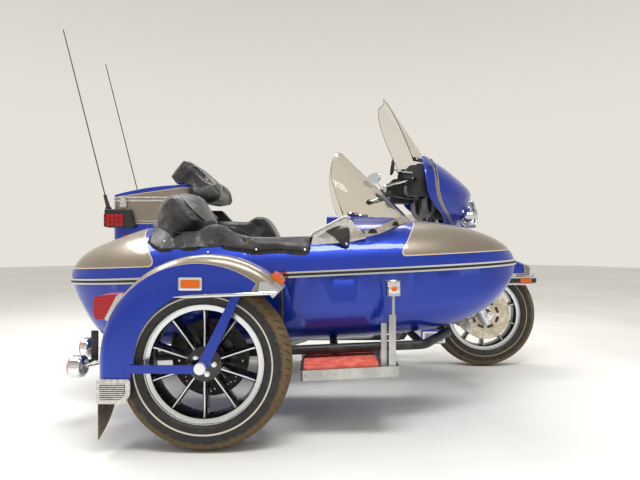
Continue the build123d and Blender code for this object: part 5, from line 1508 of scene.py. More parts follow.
def cover_rows(deck):
    """Upper and lower points of the cover from its right front corner round the back to its left one."""
    rows = []
    for u, v, depth, low_u, low_v, low_depth in COVER_EDGE:
        low = seen_at(low_u, low_v, low_depth)
        spot, normal = sight(deck, low_u, low_v)
        if spot and abs(spot.y - low.y) < DECK_NEAR:
            low = spot
        rows.append((seen_at(u, v, depth), low))
    rows += [(mirrored(high), mirrored(low)) for high, low in reversed(rows[:-1])]
    return rows


# Pixels of the photograph, here and in the lists of seams and snaps below
SEAT_SEAM = ((166.3, 227.4), (175, 232.2), (185.8, 232.6), (196.6, 231.2), (206, 228.2), (212.5, 225.2))
SIDE_SEAM = ((178.5, 194.5), (186.0, 203.0), (194.0, 211.5), (203.0, 219.5), (212.5, 225.2))
COVER_SNAPS = ((164.4, 241.2), (256.3, 249.9), (305.0, 249.9))
DECK_SNAPS = ((162.5, 250.5), (208.0, 252.5))


class SIDECAR_OT_cockpit_leather(bpy.types.Operator):
    """Sidecar seat, the tall stuffed back and the snapped leather cover round the cockpit"""
    bl_idname = "sidecar.cockpit_leather"
    bl_label = "Cockpit leather"

    def execute(self, context):
        split = at(0, 0, 533.15).z
        seat = stuffed("cockpit_cushion", "sidecar_seats", 0.009, 4.0, 0.016, 0.006, lambda p: p.z < split)
        seat = finish("cockpit_cushion", seat, ["worn_leather"], "chassis", ["sidecar_seats"], 60)
        centre = BODY.translation.y
        pivot = at(-610, 0, 700)

        def bulge(p):
            """How far a point of the back moves: the sides draw in, the lower ones less."""
            across = min(1.0, abs(p.y - centre) / 0.205)
            edge = across ** 2.6
            draw = (0.38 if p.x < pivot.x else 0.2) * edge
            lower = 0.22 * edge * max(0.0, p.z - pivot.z)
            return Vector((draw * (pivot.x - p.x) + 0.014, 0, 0.016 - lower))

        back = stuffed("cockpit_back", "sidecar_seats", 0.008, 4.5, 0.022, 0.008,
                       lambda p: p.z > split, bulge)
        back = finish("cockpit_back", back, ["worn_leather"], "chassis", (), 60)
        tree = tree_of(back)
        lines = [[spot + normal * SEAM_LIFT for spot, normal in seen_spots(tree, pixels)]
                 for pixels in (SEAT_SEAM, SIDE_SEAM)]
        lines = [line for line in lines if len(line) > 2]
        bm = bmesh.new()
        add_cords(bm, lines + [[mirrored(p) for p in line] for line in lines], 0.0030)
        make("cockpit_piping", bm, ["worn_leather"], "chassis")
        deck = tree_of(bpy.data.objects["body_shell"])
        inside = BODY.inverted()
        rows = cover_rows(deck)
        highs = smooth_path([high for high, low in rows], 6)
        lows = []
        for low in smooth_path([low for high, low in rows], 6):
            near, normal = deck.find_nearest(low)[:2]
            lows.append(near + normal * HEM_LIFT)
        grid = []
        bm = bmesh.new()
        for k, (high, low) in enumerate(zip(highs, lows)):
            own = inside @ high
            foot = BODY @ Vector((max(OPENING_BACK, min(OPENING_FRONT, own.x)),
                                  max(-OPENING_HALF, min(OPENING_HALF, own.y)), own.z - LINING_DEEP))
            inward = Vector((foot.x - high.x, foot.y - high.y, 0)).normalized()
            crown = high + inward * CROWN_IN + Vector((0, 0, CROWN_UP))
            column = [foot, foot.lerp(crown, 0.55), foot.lerp(crown, 0.85) + inward * 0.004, crown]
            for i in range(COVER_STEPS + 1):
                share = i / COVER_STEPS
                spot = high.lerp(low, share)
                puff = PUFF * sin(pi * share) ** 0.7 + FOLD * sin(2 * pi * share + k * 0.35) * (1 - share)
                spot -= inward * (puff + RIPPLE * sin(k * 0.8) * share)
                near, normal, _, distance = deck.find_nearest(spot)
                if normal.dot(spot - near) < HIDE_LIFT and distance < 0.03:
                    spot = near + normal * HIDE_LIFT
                column.append(spot)
            grid.append([bm.verts.new(p) for p in column])
        for one, two in zip(grid, grid[1:]):
            for i in range(len(one) - 1):
                bm.faces.new((one[i], one[i + 1], two[i + 1], two[i]))
        bmesh.ops.recalc_face_normals(bm, faces=bm.faces)
        mesh = bpy.data.meshes.new("cockpit_cover")
        bm.to_mesh(mesh)
        bm.free()
        holder = bpy.data.objects.new("cockpit_cover_sheet", mesh)
        context.scene.collection.objects.link(holder)
        thick = holder.modifiers.new("Hide", "SOLIDIFY")
        thick.thickness = HIDE_THICK
        thick.offset = 0.0
        finer = holder.modifiers.new("Finer", "SUBSURF")
        finer.levels = 1
        finer.render_levels = 1
        result = baked(holder)
        bpy.data.objects.remove(holder)
        cover = finish("cockpit_cover", result, ["worn_leather"], "chassis", ["coaming"], 60)
        # A black strip along the deck just under the cover's lower edge, standing for the shadow there:
        # painted shade
        bm = bmesh.new()
        line = []
        for low in lows[::2]:
            near, normal = deck.find_nearest(low - Vector((0, 0, SHADE_STRIP_DROP)))[:2]
            line.append(near + normal * SEAM_LIFT)
        add_sweep(bm, line, oblong(0.0044, 0.016), up=(0, 0, 1))
        make("cover_rim", bm, ["black_rubber"], "chassis")
        snaps = []
        for spot, normal in seen_spots(tree_of(cover), COVER_SNAPS) + seen_spots(deck, DECK_SNAPS):
            snaps += [(spot, NO_TURN), (mirrored(spot), HALF_TURN)]
        repeat("cover_snaps", dome(0.0055, 0.0035), snaps, "chrome_plate", "chassis")
        return {"FINISHED"}


# Where the photograph shows the lower edges of the band under the screen and of the plate beside it
BAND_FOOT = [(364.7, 236.6), (375.0, 234.3), (385.0, 231.0), (395.0, 226.5), (403.0, 223.2), (409.0, 221.6)]
PLATE_FOOT = [(311.0, 243.8), (325.0, 243.2), (340.0, 242.0), (347.0, 241.2), (353.0, 240.4), (366.0, 237.8)]
BAND_RIVETS = ((372.7, 231.0), (395.4, 223.6))
PLATE_TOP = [(-26, 782), (30, 812), (80, 838), (109, 851), (127, 841), (184, 778)]
PLATE_OUT, PLATE_MIDDLE = 264.0, 265.4
BAND_HEIGHT = 0.027
BAND_LEAN = 0.026
METAL = 0.0026
SINK = 0.004


def ribbon(bm, lows, tops, outs):
    """A strip of sheet metal between a lower and an upper line, thickened outwards."""
    skin_rows(bm, [[bm.verts.new(p) for p in (low, top, top + out, low + out)]
                   for low, top, out in zip(lows, tops, outs)])


# Ahead and up in the datum, millimetres
PLATE_EDGE = ((-38, 776), (-20, 792), (40, 824), (100, 854), (122, 848))
# Ahead and up in the datum, metres
PLATE_FACE = [(-0.010, 0.770), (0.014, 0.784), (0.088, 0.812), (0.112, 0.812), (0.118, 0.800), (0.104, 0.786),
              (0.030, 0.768)]
PLATE_SLOT = [(0.020, 0.795), (0.060, 0.812), (0.084, 0.818), (0.080, 0.811), (0.050, 0.800)]
HIDE_TAB = [(0.022, 0.796), (0.118, 0.812), (0.121, 0.760), (0.116, 0.738), (0.104, 0.730), (0.090, 0.738),
            (0.060, 0.770), (0.036, 0.786)]


class SIDECAR_OT_screen(bpy.types.Operator):
    """The sidecar's screen, the band along its foot, rivets, pads, and a plate with a leather tab each side"""
    bl_idname = "sidecar.screen"
    bl_label = "Sidecar screen"

    def execute(self, context):
        deck = tree_of(bpy.data.objects["body_shell"])
        sink = Vector((0, 0, SINK))
        foot = [sight(deck, u, v)[0] for u, v in BAND_FOOT]
        foot = smooth_path(foot + [at(440, SIDECAR_Y, 851)] + [mirrored(p) for p in reversed(foot)], 6)
        heads, outs = [], []
        for low in foot:
            aside = (low.y - BODY.translation.y) / 0.252
            ahead = 1 - min(1, abs(aside))
            heads.append(low + Vector((-BAND_LEAN * ahead, 0, BAND_HEIGHT)))
            outs.append(Vector((ahead, aside, 0)).normalized() * METAL)
        bm = bmesh.new()
        ribbon(bm, [p - sink for p in foot], heads, outs)
        feet = [sight(deck, u, v)[0] - sink for u, v in PLATE_FOOT]
        heads = [at(x, SIDECAR_Y - PLATE_OUT, z) for x, z in PLATE_TOP]
        out = Vector((0, -METAL, 0))
        ribbon(bm, feet, heads, [out] * len(feet))
        ribbon(bm, [mirrored(p) for p in feet], [mirrored(p) for p in heads], [-out] * len(feet))
        band = make("screen_band", bm, ["satin_trim"], "chassis", ["screen_mount"], 40)

        bm = node_copy("sidecar_screen")
        corner, front = at(184, SIDECAR_Y, 774), at(440, SIDECAR_Y, 846)
        along = front - corner
        cut = bmesh.ops.bisect_plane(bm, geom=bm.verts[:] + bm.edges[:] + bm.faces[:], plane_co=corner,
                                     plane_no=Vector((-along.z, 0, along.x)), clear_inner=True)
        rim = [e for e in cut["geom_cut"] if isinstance(e, bmesh.types.BMEdge)]
        bmesh.ops.holes_fill(bm, edges=rim)
        make("low_screen", bm, ["clear_acrylic"], "chassis", ["sidecar_screen"], 50)

        half = bmesh.new()
        shape = [(0.020 * cos(pi * i / 12), 0.020 * sin(pi * i / 12)) for i in range(13)]
        add_prism(half, shape, 0.0006, 0.0034, UPRIGHT, bevel=0.0008, segments=1)
        rivets, pads = [], []
        for spot, normal in seen_spots(tree_of(band), BAND_RIVETS):
            angle = atan2(normal.x, -normal.y)
            for rows, place in ((rivets, spot), (pads, spot - Vector((0, 0, 0.010)))):
                rows += [(place, (0, 0, angle)), (mirrored(place), (0, 0, pi - angle))]
        repeat("screen_rivets", dome(0.0050, 0.0035), rivets, "chrome_plate", "chassis")
        repeat("screen_pads", half, pads, "black_rubber", "chassis")
        bm = bmesh.new()
        hide = bmesh.new()
        for side in (1, -1):
            y = SIDECAR_Y - side * PLATE_MIDDLE
            add_tube(bm, [at(x, y, z) for x, z in PLATE_EDGE], 0.0058, sides=12, each=5)
            place = move(*at(0, y - side * 1.6, 0)) @ UPRIGHT
            add_prism(bm, rounded(PLATE_FACE, 0.006), -0.0012, 0.0012, place, bevel=0.0005)
            add_prism(hide, rounded(PLATE_SLOT, 0.003), -0.0016, 0.0016, place, 1)
            back, front = (0.0012, 0.0040) if side == 1 else (-0.0040, -0.0012)
            place @= move(0, 0, side * 0.0008)
            add_prism(hide, rounded(HIDE_TAB, 0.012), back, front, place, 0, 0.0011)
        make("screen_plates", bm, ["brushed_aluminium"], "chassis")
        make("screen_tabs", hide, ["worn_leather", "black_rubber"], "chassis")
        snaps = [(at(107, SIDECAR_Y - 272, 745), NO_TURN), (at(107, SIDECAR_Y + 272, 745), HALF_TURN)]
        repeat("tab_snaps", dome(0.0055, 0.0035), snaps, "chrome_plate", "chassis")
        return {"FINISHED"}


# Front end

FAIRING_ROWS = [
    # height, front x, side x and half width, in millimetres
    (842, 850, 724, 150),
    (905, 892, 676, 290),
    (985, 900, 592, 372),
    (1050, 894, 570, 396),
    (1150, 784, 564, 372),
    (1228, 672, 566, 292),
]
SCREEN_FOOT = [(1204, 660, 528, 258), (1226, 645, 519, 260)]
BOLT_ROW = (1215, 653, 524, 259)
WINDSHIELD_ROWS = [
    (1216, 650, 522, 255),
    (1300, 594, 487, 265),
    (1400, 523, 444, 262),
    (1480, 466, 410, 240),
    (1550, 417, 384, 188),
    (1592, 390, 374, 104),
]


def bow(row, share, inset=0.0):
    """A point of a bowed plan section; share runs from -1 on the right through 0 ahead to 1 on the left."""
    z, front, side, half = row
    depth = front - side
    radius = (depth * depth + half * half) / (2 * depth)
    angle = share * 2 * atan2(depth, half)
    return at(front - radius + (radius - inset) * cos(angle), (radius - inset) * sin(angle), z)


def add_skin(bm, outer, inner):
    """A closed shell between two grids of points of the same size."""
    shape = bmesh.new()
    a = [[shape.verts.new(p) for p in row] for row in outer]
    b = [[shape.verts.new(p) for p in row] for row in inner]
    rows, count = len(a), len(a[0])
    for grid in (a, b):
        for one, two in zip(grid, grid[1:]):
            for i in range(count - 1):
                shape.faces.new((one[i], one[i + 1], two[i + 1], two[i]))
    rim = [(0, i) for i in range(count)] + [(j, count - 1) for j in range(1, rows)]
    rim += [(rows - 1, i) for i in range(count - 2, -1, -1)] + [(j, 0) for j in range(rows - 2, 0, -1)]
    for (j, i), (m, k) in zip(rim, rim[1:] + rim[:1]):
        shape.faces.new((a[j][i], a[m][k], b[m][k], b[j][i]))
    bmesh.ops.recalc_face_normals(shape, faces=shape.faces)
    merge(bm, shape, Matrix(), 0)


def bowed_shell(bm, rows, thick, each=8):
    """A shell through bowed plan sections, thickened inwards."""
    lines = smooth_path(rows, each)
    shares = [i / 20 - 1 for i in range(41)]
    add_skin(bm, *[[[bow(row, share, inset) for share in shares] for row in lines] for inset in (0.0, thick)])


# Along its axis and radius, metres
SCREEN_BOLT = [(-0.003, 0), (-0.002, 0.006), (0.004, 0.007), (0.004, 0)]
# Ahead and up in the datum, metres
SIDE_POD = [(0.470, 1.020), (0.484, 1.004), (0.606, 1.004), (0.606, 1.160), (0.560, 1.170), (0.486, 1.166),
            (0.470, 1.148)]
LOWER_POD = [(0.604, 0.930), (0.600, 1.008), (0.640, 1.008), (0.700, 0.880), (0.660, 0.876)]
PANEL_FACE = 614
# Left, height, radius and front, millimetres
DIALS = ((-58, 1165, 41, 560), (58, 1165, 41, 560), (-150, 1150, 25, 620), (150, 1150, 25, 620),
         (-150, 1080, 25, 620), (150, 1080, 25, 620))
# Left, height and radius, millimetres
LAMPS = ((0, 915, 92), (-178, 888, 56), (178, 888, 56))


class SIDECAR_OT_fairing(bpy.types.Operator):
    """Fairing shell with its panel and gauges, the leaning screen and the chromed lamps"""
    bl_idname = "sidecar.fairing"
    bl_label = "Fairing"

    def execute(self, context):
        bm = bmesh.new()
        bowed_shell(bm, FAIRING_ROWS, 5.0)
        lines = smooth_path(FAIRING_ROWS, 8)
        for share in (-1, 1):
            add_tube(bm, [bow(row, share * 0.995, 3) for row in lines[1:-1]], 0.0055, sides=8, each=1)
        make("fairing_shell", bm, ["fairing_paint"], "steering", ["fairing"], 40)
        bm = bmesh.new()
        bowed_shell(bm, WINDSHIELD_ROWS, 4.0)
        make("tall_screen", bm, ["clear_acrylic"], "steering", ["windshield"], 50)
        bm = bmesh.new()
        lines = smooth_path(WINDSHIELD_ROWS, 8)
        for share in (-1, 1):
            add_tube(bm, [bow(row, share, 2) for row in lines[1:]], 0.0019, sides=8, each=1)
        add_tube(bm, [bow(lines[-1], -1 + i / 12, 2) for i in range(25)], 0.0019, sides=8, each=1)
        bowed_shell(bm, SCREEN_FOOT, 9.0, each=2)
        for share in (-0.9, -0.45, 0, 0.45, 0.9):
            place = move(*bow(BOLT_ROW, share, -1)) @ turn(90 + share * 52, "Z")
            add_lathe(bm, SCREEN_BOLT, 16, place, 1, closed=False)
        make("screen_edging", bm, ["grained_plastic", "chrome_plate"], "steering")
        bm = bmesh.new()
        for (low, high), (under_low, under_high) in zip(both_sides(0.258, 0.352), both_sides(0.090, 0.255)):
            add_prism(bm, rounded(SIDE_POD, 0.012), -high, -low, SIDE_VIEW, 0, 0.012, 3)
            add_prism(bm, LOWER_POD, -under_high, -under_low, SIDE_VIEW, 0, 0.008)
        panel = []
        lines = smooth_path(FAIRING_ROWS, 8)
        for z in range(890, 1221, 15):
            height, front, side, half = min(lines, key=lambda row: abs(row[0] - z))
            depth = front - side
            radius = (depth * depth + half * half) / (2 * depth)
            reach = min(1.0, max(-1.0, (max(PANEL_FACE, side + 6) - front + radius) / radius))
            panel.append((radius * sqrt(1 - reach * reach) / 1000 - 0.007, z / 1000))
        outline = panel + [(-y, z) for y, z in reversed(panel)]
        add_prism(bm, outline, 0.622, 0.634, END_VIEW, 0, 0.002)
        add_block(bm, (0.560, -0.110, 1.115), (0.630, 0.110, 1.215), move(*DATUM), 0, 0.018, 3)
        add_block(bm, (0.585, -0.095, 1.005), (0.630, 0.095, 1.075), move(*DATUM), 0, 0.008)
        for y, z, radius, x in DIALS:
            dial = move(*at(x, y, z)) @ turn(-90, "Z")
            r = radius / 1000
            ring = [(0.004, r + 0.001), (-0.006, r + 0.003), (-0.009, r),
                    (-0.006, r - 0.004), (0.004, r - 0.006)]
            add_lathe(bm, ring, 36, dial, 1)
            face = [(0.003, 0), (-0.003, 0), (-0.003, r - 0.003), (0.003, r - 0.003)]
            add_lathe(bm, face, 36, dial, 2, closed=False)
        coats = ["grained_plastic", "chrome_plate", "blank_plate"]
        make("dash_panel", bm, coats, "steering", ["fairing_inner"])
        bm = bmesh.new()
        for y, z, radius in LAMPS:
            r = radius / 1000
            face = move(*at(804 + 128 - abs(y) * 0.2, y, z)) @ turn(90, "Z")
            ring = [(0.026, r + 0.001), (0.020, r + 0.004), (0.008, r + 0.002),
                    (0.003, r * 0.90), (0.016, r * 0.86)]
            add_lathe(bm, ring, 56, face)
            glass = [(0.012, r * 0.90), (-0.001, r * 0.62), (-0.004, r * 0.3), (-0.005, 0)]
            add_lathe(bm, glass, 56, face, 1, closed=False)
        make("lamp_glasses", bm, ["chrome_plate", "clear_lens"], "steering")
        return {"FINISHED"}


# The handlebar's plan, ahead and left, and its rise, distance from the centre plane and height, millimetres
BAR_PLAN = ((636, 0), (636, 60), (600, 230), (500, 370), (340, 452))
BAR_RISE = ((0, 1090), (60, 1090), (230, 1104), (370, 1090), (452, 1030))
# Along its axis and radius, metres
MIRROR_SHELL = [(0.010, 0.0), (0.009, 0.020), (0.004, 0.036), (-0.004, 0.041), (-0.009, 0.0395),
                (-0.009, 0.0)]
MIRROR_FACE = [(-0.0085, 0.0), (-0.0085, 0.037), (-0.0096, 0.037), (-0.0096, 0.0)]


class SIDECAR_OT_controls(bpy.types.Operator):
    """Handlebar with its grips, switch boxes, levers, fluid reservoir and mirrors"""
    bl_idname = "sidecar.controls"
    bl_label = "Handlebar and controls"

    def execute(self, context):
        metal, black, glass = bmesh.new(), bmesh.new(), bmesh.new()
        for side in (-1, 1):
            bend = rounded([(x, y * side) for x, y in BAR_PLAN], 45, 5)
            line = []
            for x, y in bend[:-6]:
                spread = abs(y)
                for (a, low), (b, high) in zip(BAR_RISE, BAR_RISE[1:]):
                    if a <= spread <= b:
                        line.append(at(x, y, low + (high - low) * (spread - a) / (b - a)))
            line.append(at(340, 452 * side, 1030))
            add_tube(metal, line, 0.0125, each=1, sides=16)
            add_tube(metal, [at(603, 34 * side, 1062), at(636, 34 * side, 1092)], 0.015, each=1, sides=16)
            grip = [at(424, 431 * side, 1056), at(338, 452 * side, 1030)]
            add_tube(black, grip, 0.0180, each=1, sides=20)
            along = (grip[1] - grip[0]).normalized()
            for i in range(9):
                ring = grip[0].lerp(grip[1], 0.08 + 0.1 * i)
                add_tube(black, [ring - along * 0.0022, ring + along * 0.0022], 0.0193, each=1, sides=20)
            add_tube(metal, [grip[1], grip[1] + along * 0.006], 0.0195, each=1, sides=20)
            box = [at(480, 381 * side, 1083), at(428, 408 * side, 1062)]
            add_tube(black, box, 0.0225, each=1, sides=16)
            lever = [at(470, 392 * side, 1074), at(456, 430 * side, 1072), at(420, 462 * side, 1060),
                     at(338, 487 * side, 1036)]
            add_tube(metal, lever, 0.0062, sides=10, scales=[1.3 - 0.5 * i / 24 for i in range(25)])
            add_tube(metal, [lever[-1], lever[-1] + Vector((-0.004, 0, -0.001))], 0.0085, each=1, sides=12)
            tank = move(*at(446, 420 * side, 1098)) @ turn(-24 * side, "Z")
            add_block(black, (-0.034, -0.024, -0.024), (0.034, 0.024, 0.014), tank, 0, 0.007)
            add_block(metal, (-0.036, -0.026, 0.014), (0.036, 0.026, 0.020), tank, 0, 0.003)
            head_z, facing = (1141, 8) if side < 0 else (1190, 35)
            stem = [at(452, 398 * side, 1080), at(430, 420 * side, 1118), at(392, 432 * side, head_z - 12)]
            add_tube(metal, stem, 0.0055, sides=10)
            head = move(*at(380, 432 * side, head_z)) @ turn(facing * side, "Z") @ turn(6, "Y")
            oval = head @ turn(-90, "Z") @ Matrix.Diagonal((1.75, 1.0, 1.0, 1.0))
            add_lathe(black if side < 0 else metal, MIRROR_SHELL, 40, oval, closed=False)
            add_lathe(glass, MIRROR_FACE, 40, oval, closed=False)
        for y, bar_y in ((-70, -400), (40, 400)):
            cable = [at(455, bar_y, 1076), at(520, y * 3.4, 1030), at(600, y, 1000), at(640, y / 2, 900)]
            add_tube(black, cable, 0.0042, sides=8)
        make("bar_tube", metal, ["chrome_plate"], "steering", ["handlebar"])
        make("grips", black, ["black_rubber"], "steering")
        make("mirror_faces", glass, ["mirror_glass"], "steering")
        return {"FINISHED"}


# The front fender's round part: crown and edge radii and half width, millimetres; its angles, degrees
FENDER_RADII, FENDER_HALF = (377, 282), 92
FENDER_BACK, FENDER_SWEEP, FENDER_STEPS = -112, 136, 26
FENDER_NOSE = [
    # crown x and height, lower edge x and height, half width
    (1158, 651, 1135, 556, 92),
    (1185, 640, 1165, 549, 92),
    (1212, 630, 1195, 547, 91),
    (1238, 620, 1225, 547, 88),
    (1262, 611, 1250, 547, 83),
    (1281, 598, 1272, 547, 73),
    (1294, 578, 1287, 547, 57),
    (1299, 556, 1296, 547, 36),
]


def fender_rows(first, inset):
    """Cross sections of the front wheel cover, from its tail or a given place to its nose."""
    stations = []
    axle_x, axle_z = FRONT_AXLE
    for i in range(FENDER_STEPS + 1):
        a = radians(FENDER_BACK + FENDER_SWEEP * i / FENDER_STEPS)
        crown, low = [(axle_x + r * sin(a), axle_z + r * cos(a)) for r in FENDER_RADII]
        stations.append((*crown, *low, FENDER_HALF))
    stations = [row for row in stations + smooth_path(FENDER_NOSE, 3) if row[0] >= first]
    rows = []
    for cx, cz, lx, lz, half in stations:
        crown, low = Vector((cx, 0, cz)), Vector((lx, 0, lz))
        up = (crown - low).normalized()
        height = (crown - low).length - inset
        width = half - inset
        corner = min(40.0, width * 0.5, height * 0.6)
        shelf = max(0.0, height - corner - 8)
        side = [(width, 0.0), (width, shelf * 0.5), (width, shelf)]
        side += [(width - corner * (1 - cos(a)), shelf + corner * sin(a))
                 for a in (0.3, 0.6, 0.9, 1.2, pi / 2)]
        side += [((width - corner) * 0.5, height - 2.0), (0.0, height)]
        line = [(-y, h) for y, h in side] + side[-2::-1]
        rows.append([at(*(low + up * h + Vector((0, y, 0)))) for y, h in line])
    return rows


# Ahead and up in the datum, metres
TAIL_SIDE = [(0.602, 0.146), (0.600, 0.224), (0.660, 0.236), (0.742, 0.224), (0.744, 0.146)]
# Ahead, aside and up in the datum, millimetres
TIP_EDGE = ((1120, 93.2, 559), (1170, 93.2, 550), (1225, 90.5, 548), (1262, 82, 548))
# Ahead and left in the datum, millimetres
RAIL_PLAN = [(1092, -101), (1235, -101), (1280, -80), (1300, -42), (1306, 0)]
# Out and up from the rail's line, metres
RAIL_BAR = [(-0.0045, -0.0255), (0.0030, -0.0255), (0.0060, -0.0215), (0.0060, -0.0165), (0.0030, -0.0130),
            (0.0030, 0.0130), (0.0060, 0.0165), (0.0060, 0.0215), (0.0030, 0.0255), (-0.0045, 0.0255)]
RAIL_INSERT = [(0.0030, -0.0125), (0.0044, -0.0120), (0.0044, 0.0120), (0.0030, 0.0125)]


class SIDECAR_OT_front_fender(bpy.types.Operator):
    """Front wheel cover with its drawn-out nose, chrome tip, rail, reflectors and tail inserts"""
    bl_idname = "sidecar.front_fender"
    bl_label = "Front fender"

    def execute(self, context):
        bm = bmesh.new()
        add_skin(bm, fender_rows(0, 0.0), fender_rows(0, 3.0))
        for low, high in both_sides(0.091, 0.0955):
            add_prism(bm, rounded(TAIL_SIDE, 0.010), -high, -low, SIDE_VIEW, 0, 0.0015)
        add_prism(bm, rounded(oblong(0.190, 0.080, 0, 0.186), 0.010), 0.600, 0.6045, END_VIEW, 0, 0.0015)
        make("front_cover", bm, ["fender_paint"], "steering", ["front_fender"])
        bm = bmesh.new()
        add_skin(bm, fender_rows(1249, -1.6), fender_rows(1249, 0.5))
        for side in (-1, 1):
            add_tube(bm, [at(x, side * y, z) for x, y, z in TIP_EDGE], 0.0032, sides=8)
            loops = [rounded(oblong(0.132, 0.068, 0.674, 0.184), 0.008),
                     rounded(oblong(0.110, 0.047, 0.674, 0.1845), 0.005)]
            add_cut_plate(bm, loops, 0.004, move(*at(0, side * 97, 0)) @ UPRIGHT, 0, 0.0008)
        make("fender_tip", bm, ["chrome_plate"], "steering")
        rib = bmesh.new()
        add_block(rib, (-0.0560, -0.0012, -0.0018), (0.0560, 0.0012, 0.0018), bevel=0.0005, segments=1)
        rows = [(at(674, side * 97.0, 165.5 + 6.2 * i), NO_TURN) for i in range(7) for side in (-1, 1)]
        repeat("fender_insert_ribs", rib, rows, "satin_trim", "steering")
        bm = bmesh.new()
        plan = RAIL_PLAN + [(x, -y) for x, y in reversed(RAIL_PLAN[:-1])]
        line = smooth_path([at(x, y, 521) for x, y in plan], 6)
        add_sweep(bm, line, RAIL_BAR, up=(0, 0, 1))
        add_sweep(bm, line, RAIL_INSERT, up=(0, 0, 1), skin=1)
        for (near, far), (foot_near, foot_far) in zip(both_sides(104.2, 109.5), both_sides(92, 100)):
            add_block(bm, at(1183, near, 508.5), at(1250, far, 533.5), Matrix(), 2, 0.0018)
            add_block(bm, at(1130, foot_near, 530), at(1160, foot_far, 560), Matrix(), 0, 0.002)
        coats = ["chrome_plate", "black_rubber", "amber_lens"]
        make("fender_rail", bm, coats, "steering", ["front_rail"])
        bm = bmesh.new()
        for side in (-1, 1):
            face = move(*at(FRONT_AXLE[0], side * 140, FRONT_AXLE[1]))
            washer = [(0.0, 0.0), (0.0, 0.020), (side * 0.006, 0.020), (side * 0.007, 0.0)]
            add_lathe(bm, washer, 32, face, closed=False)
            add_prism(bm, ring_points(0.0155, 6), -side * 0.007, -side * 0.018, face @ UPRIGHT, 0, 0.0015, 1)
        make("axle_nuts", bm, ["chrome_plate"], "steering")
        return {"FINISHED"}


# Luggage, saddle and engine

BOX_BACK, BOX_FRONT, BOX_SIDE, BOX_CORNER = -1166, -740, -278, 70


def box_path(z, reach):
    """Points round the top box at a height, from its left rear round the right side to its left front."""
    round_off = [(BOX_CORNER * (1 - cos(a)), BOX_CORNER * (1 - sin(a))) for a in (0.0, 0.4, 0.8, 1.2, pi / 2)]
    plan = [(BOX_BACK, reach)] + [(BOX_BACK + x, BOX_SIDE + y) for x, y in round_off]
    plan += [(BOX_FRONT - y, BOX_SIDE + x) for x, y in round_off] + [(BOX_FRONT, reach)]
    return [at(x, y, z) for x, y in plan]


# Out and up from the moulding's line, metres
STRIP = [(-0.0030, -0.0062), (0.0022, -0.0048), (0.0022, 0.0048), (-0.0030, 0.0062)]
# Ahead and up in the datum, millimetres
AERIAL_FOOT = ((-1178, 938), (-1186, 972), (-1197, 1010))
# Half length, right side, foot, left side and top in the datum, millimetres, and bevel, metres
BOX_LATCH = ((19, -293, 941, -280, 985, 0.004), (14, -296, 962, -291, 990, 0.002),
             (12, -288, 986, -280, 992, 0.002))
# Along its axis and radius, metres
PLATE_SCREW = [(0.0, 0.0), (0.0, 0.0045), (-0.002, 0.004), (-0.003, 0.0)]


class SIDECAR_OT_luggage(bpy.types.Operator):
    """Mouldings, latches, reflectors, lamp lenses and blank plate of the luggage"""
    bl_idname = "sidecar.luggage"
    bl_label = "Luggage trim"

    def execute(self, context):
        for name, z, body, size in (("box_moulding", 980.0, "chassis", 1.0),
                                    ("lid_moulding", 997.5, "tour_lid", 0.9)):
            bm = bmesh.new()
            add_sweep(bm, box_path(z, 190), STRIP, up=(0, 0, 1), scales=[size] * 13)
            if body == "chassis":
                add_sweep(bm, box_path(866, -180), [(out, up * 0.4) for out, up in STRIP], up=(0, 0, 1))
            make(name, bm, ["satin_trim"], body)
        bm = bmesh.new()
        for x in (-1089, -845):
            for half, right, low, left, high, bevel in BOX_LATCH:
                add_block(bm, at(x - half, right, low), at(x + half, left, high), bevel=bevel)
        for near, far in both_sides(234, 238):
            for x in (-960, -690):
                add_block(bm, at(x - 14, near, 570), at(x + 14, far, 600), bevel=0.0015)
        make("latches", bm, ["satin_trim"], "chassis")
        cell = bmesh.new()
        add_block(cell, (-0.0116, -0.0020, -0.0105), (0.0116, 0.0020, 0.0105), bevel=0.0016, segments=1)
        rows = []
        for side in (-1, 1):
            for i in range(4):
                for z in (847.5, 869.9, 892.3):
                    rows.append((at(-1166 + 24.4 * i, side * 309.0, z), NO_TURN))
                    rows.append((at(-1187.5, side * (222 + 24.4 * i), z), (0, 0, pi / 2)))
        repeat("pod_lenses", cell, rows, "red_lens", "chassis")
        bm = bmesh.new()
        for side in (-1, 1):
            loops = [rounded(oblong(0.1075, 0.076, -1.12975, 0.870), 0.006),
                     rounded(oblong(0.0995, 0.069, -1.12975, 0.870), 0.004)]
            add_cut_plate(bm, loops, 0.0028, move(*at(0, side * 308.8, 0)) @ UPRIGHT, 0, 0.0005)
            foot = [at(x, side * 270, z) for x, z in AERIAL_FOOT]
            add_tube(bm, foot, 0.0105, sides=14, scales=[1.1 - 0.5 * i / 16 for i in range(17)])
        make("pod_bezels", bm, ["grained_plastic"], "chassis")
        bm = bmesh.new()
        for near, far in both_sides(278.2, 281.5):
            add_block(bm, at(-1090, near, 776), at(-1022, far, 792), bevel=0.0012)
        add_block(bm, at(-1015, -46, 368), at(-1009.8, 46, 422), bevel=0.004)
        for near, far in both_sides(262, 378):
            add_block(bm, at(-1089, near, 470), at(-1085.2, far, 500), bevel=0.003)
        make("red_reflectors", bm, ["red_lens"], "chassis")
        bm = bmesh.new()
        add_block(bm, at(-987.4, -86, 296), at(-984.6, 86, 354), bevel=0.0012)
        for y in (-70, 70):
            add_lathe(bm, PLATE_SCREW, 16, move(*at(-987.2, y, 346)) @ turn(-90, "Z"), 1, closed=False)
        make("rear_plate", bm, ["blank_plate", "chrome_plate"], "chassis")
        bm = bmesh.new()
        add_block(bm, at(-934, -1003, 268), at(-904, -997, 392), bevel=0.0025)
        add_tube(bm, [at(-919, -1000, 276), at(-945, -1030, 266), at(-962, -1058, 262)], 0.007, sides=10)
        make("indicator_bracket", bm, ["powder_coat"], "chassis")
        return {"FINISHED"}


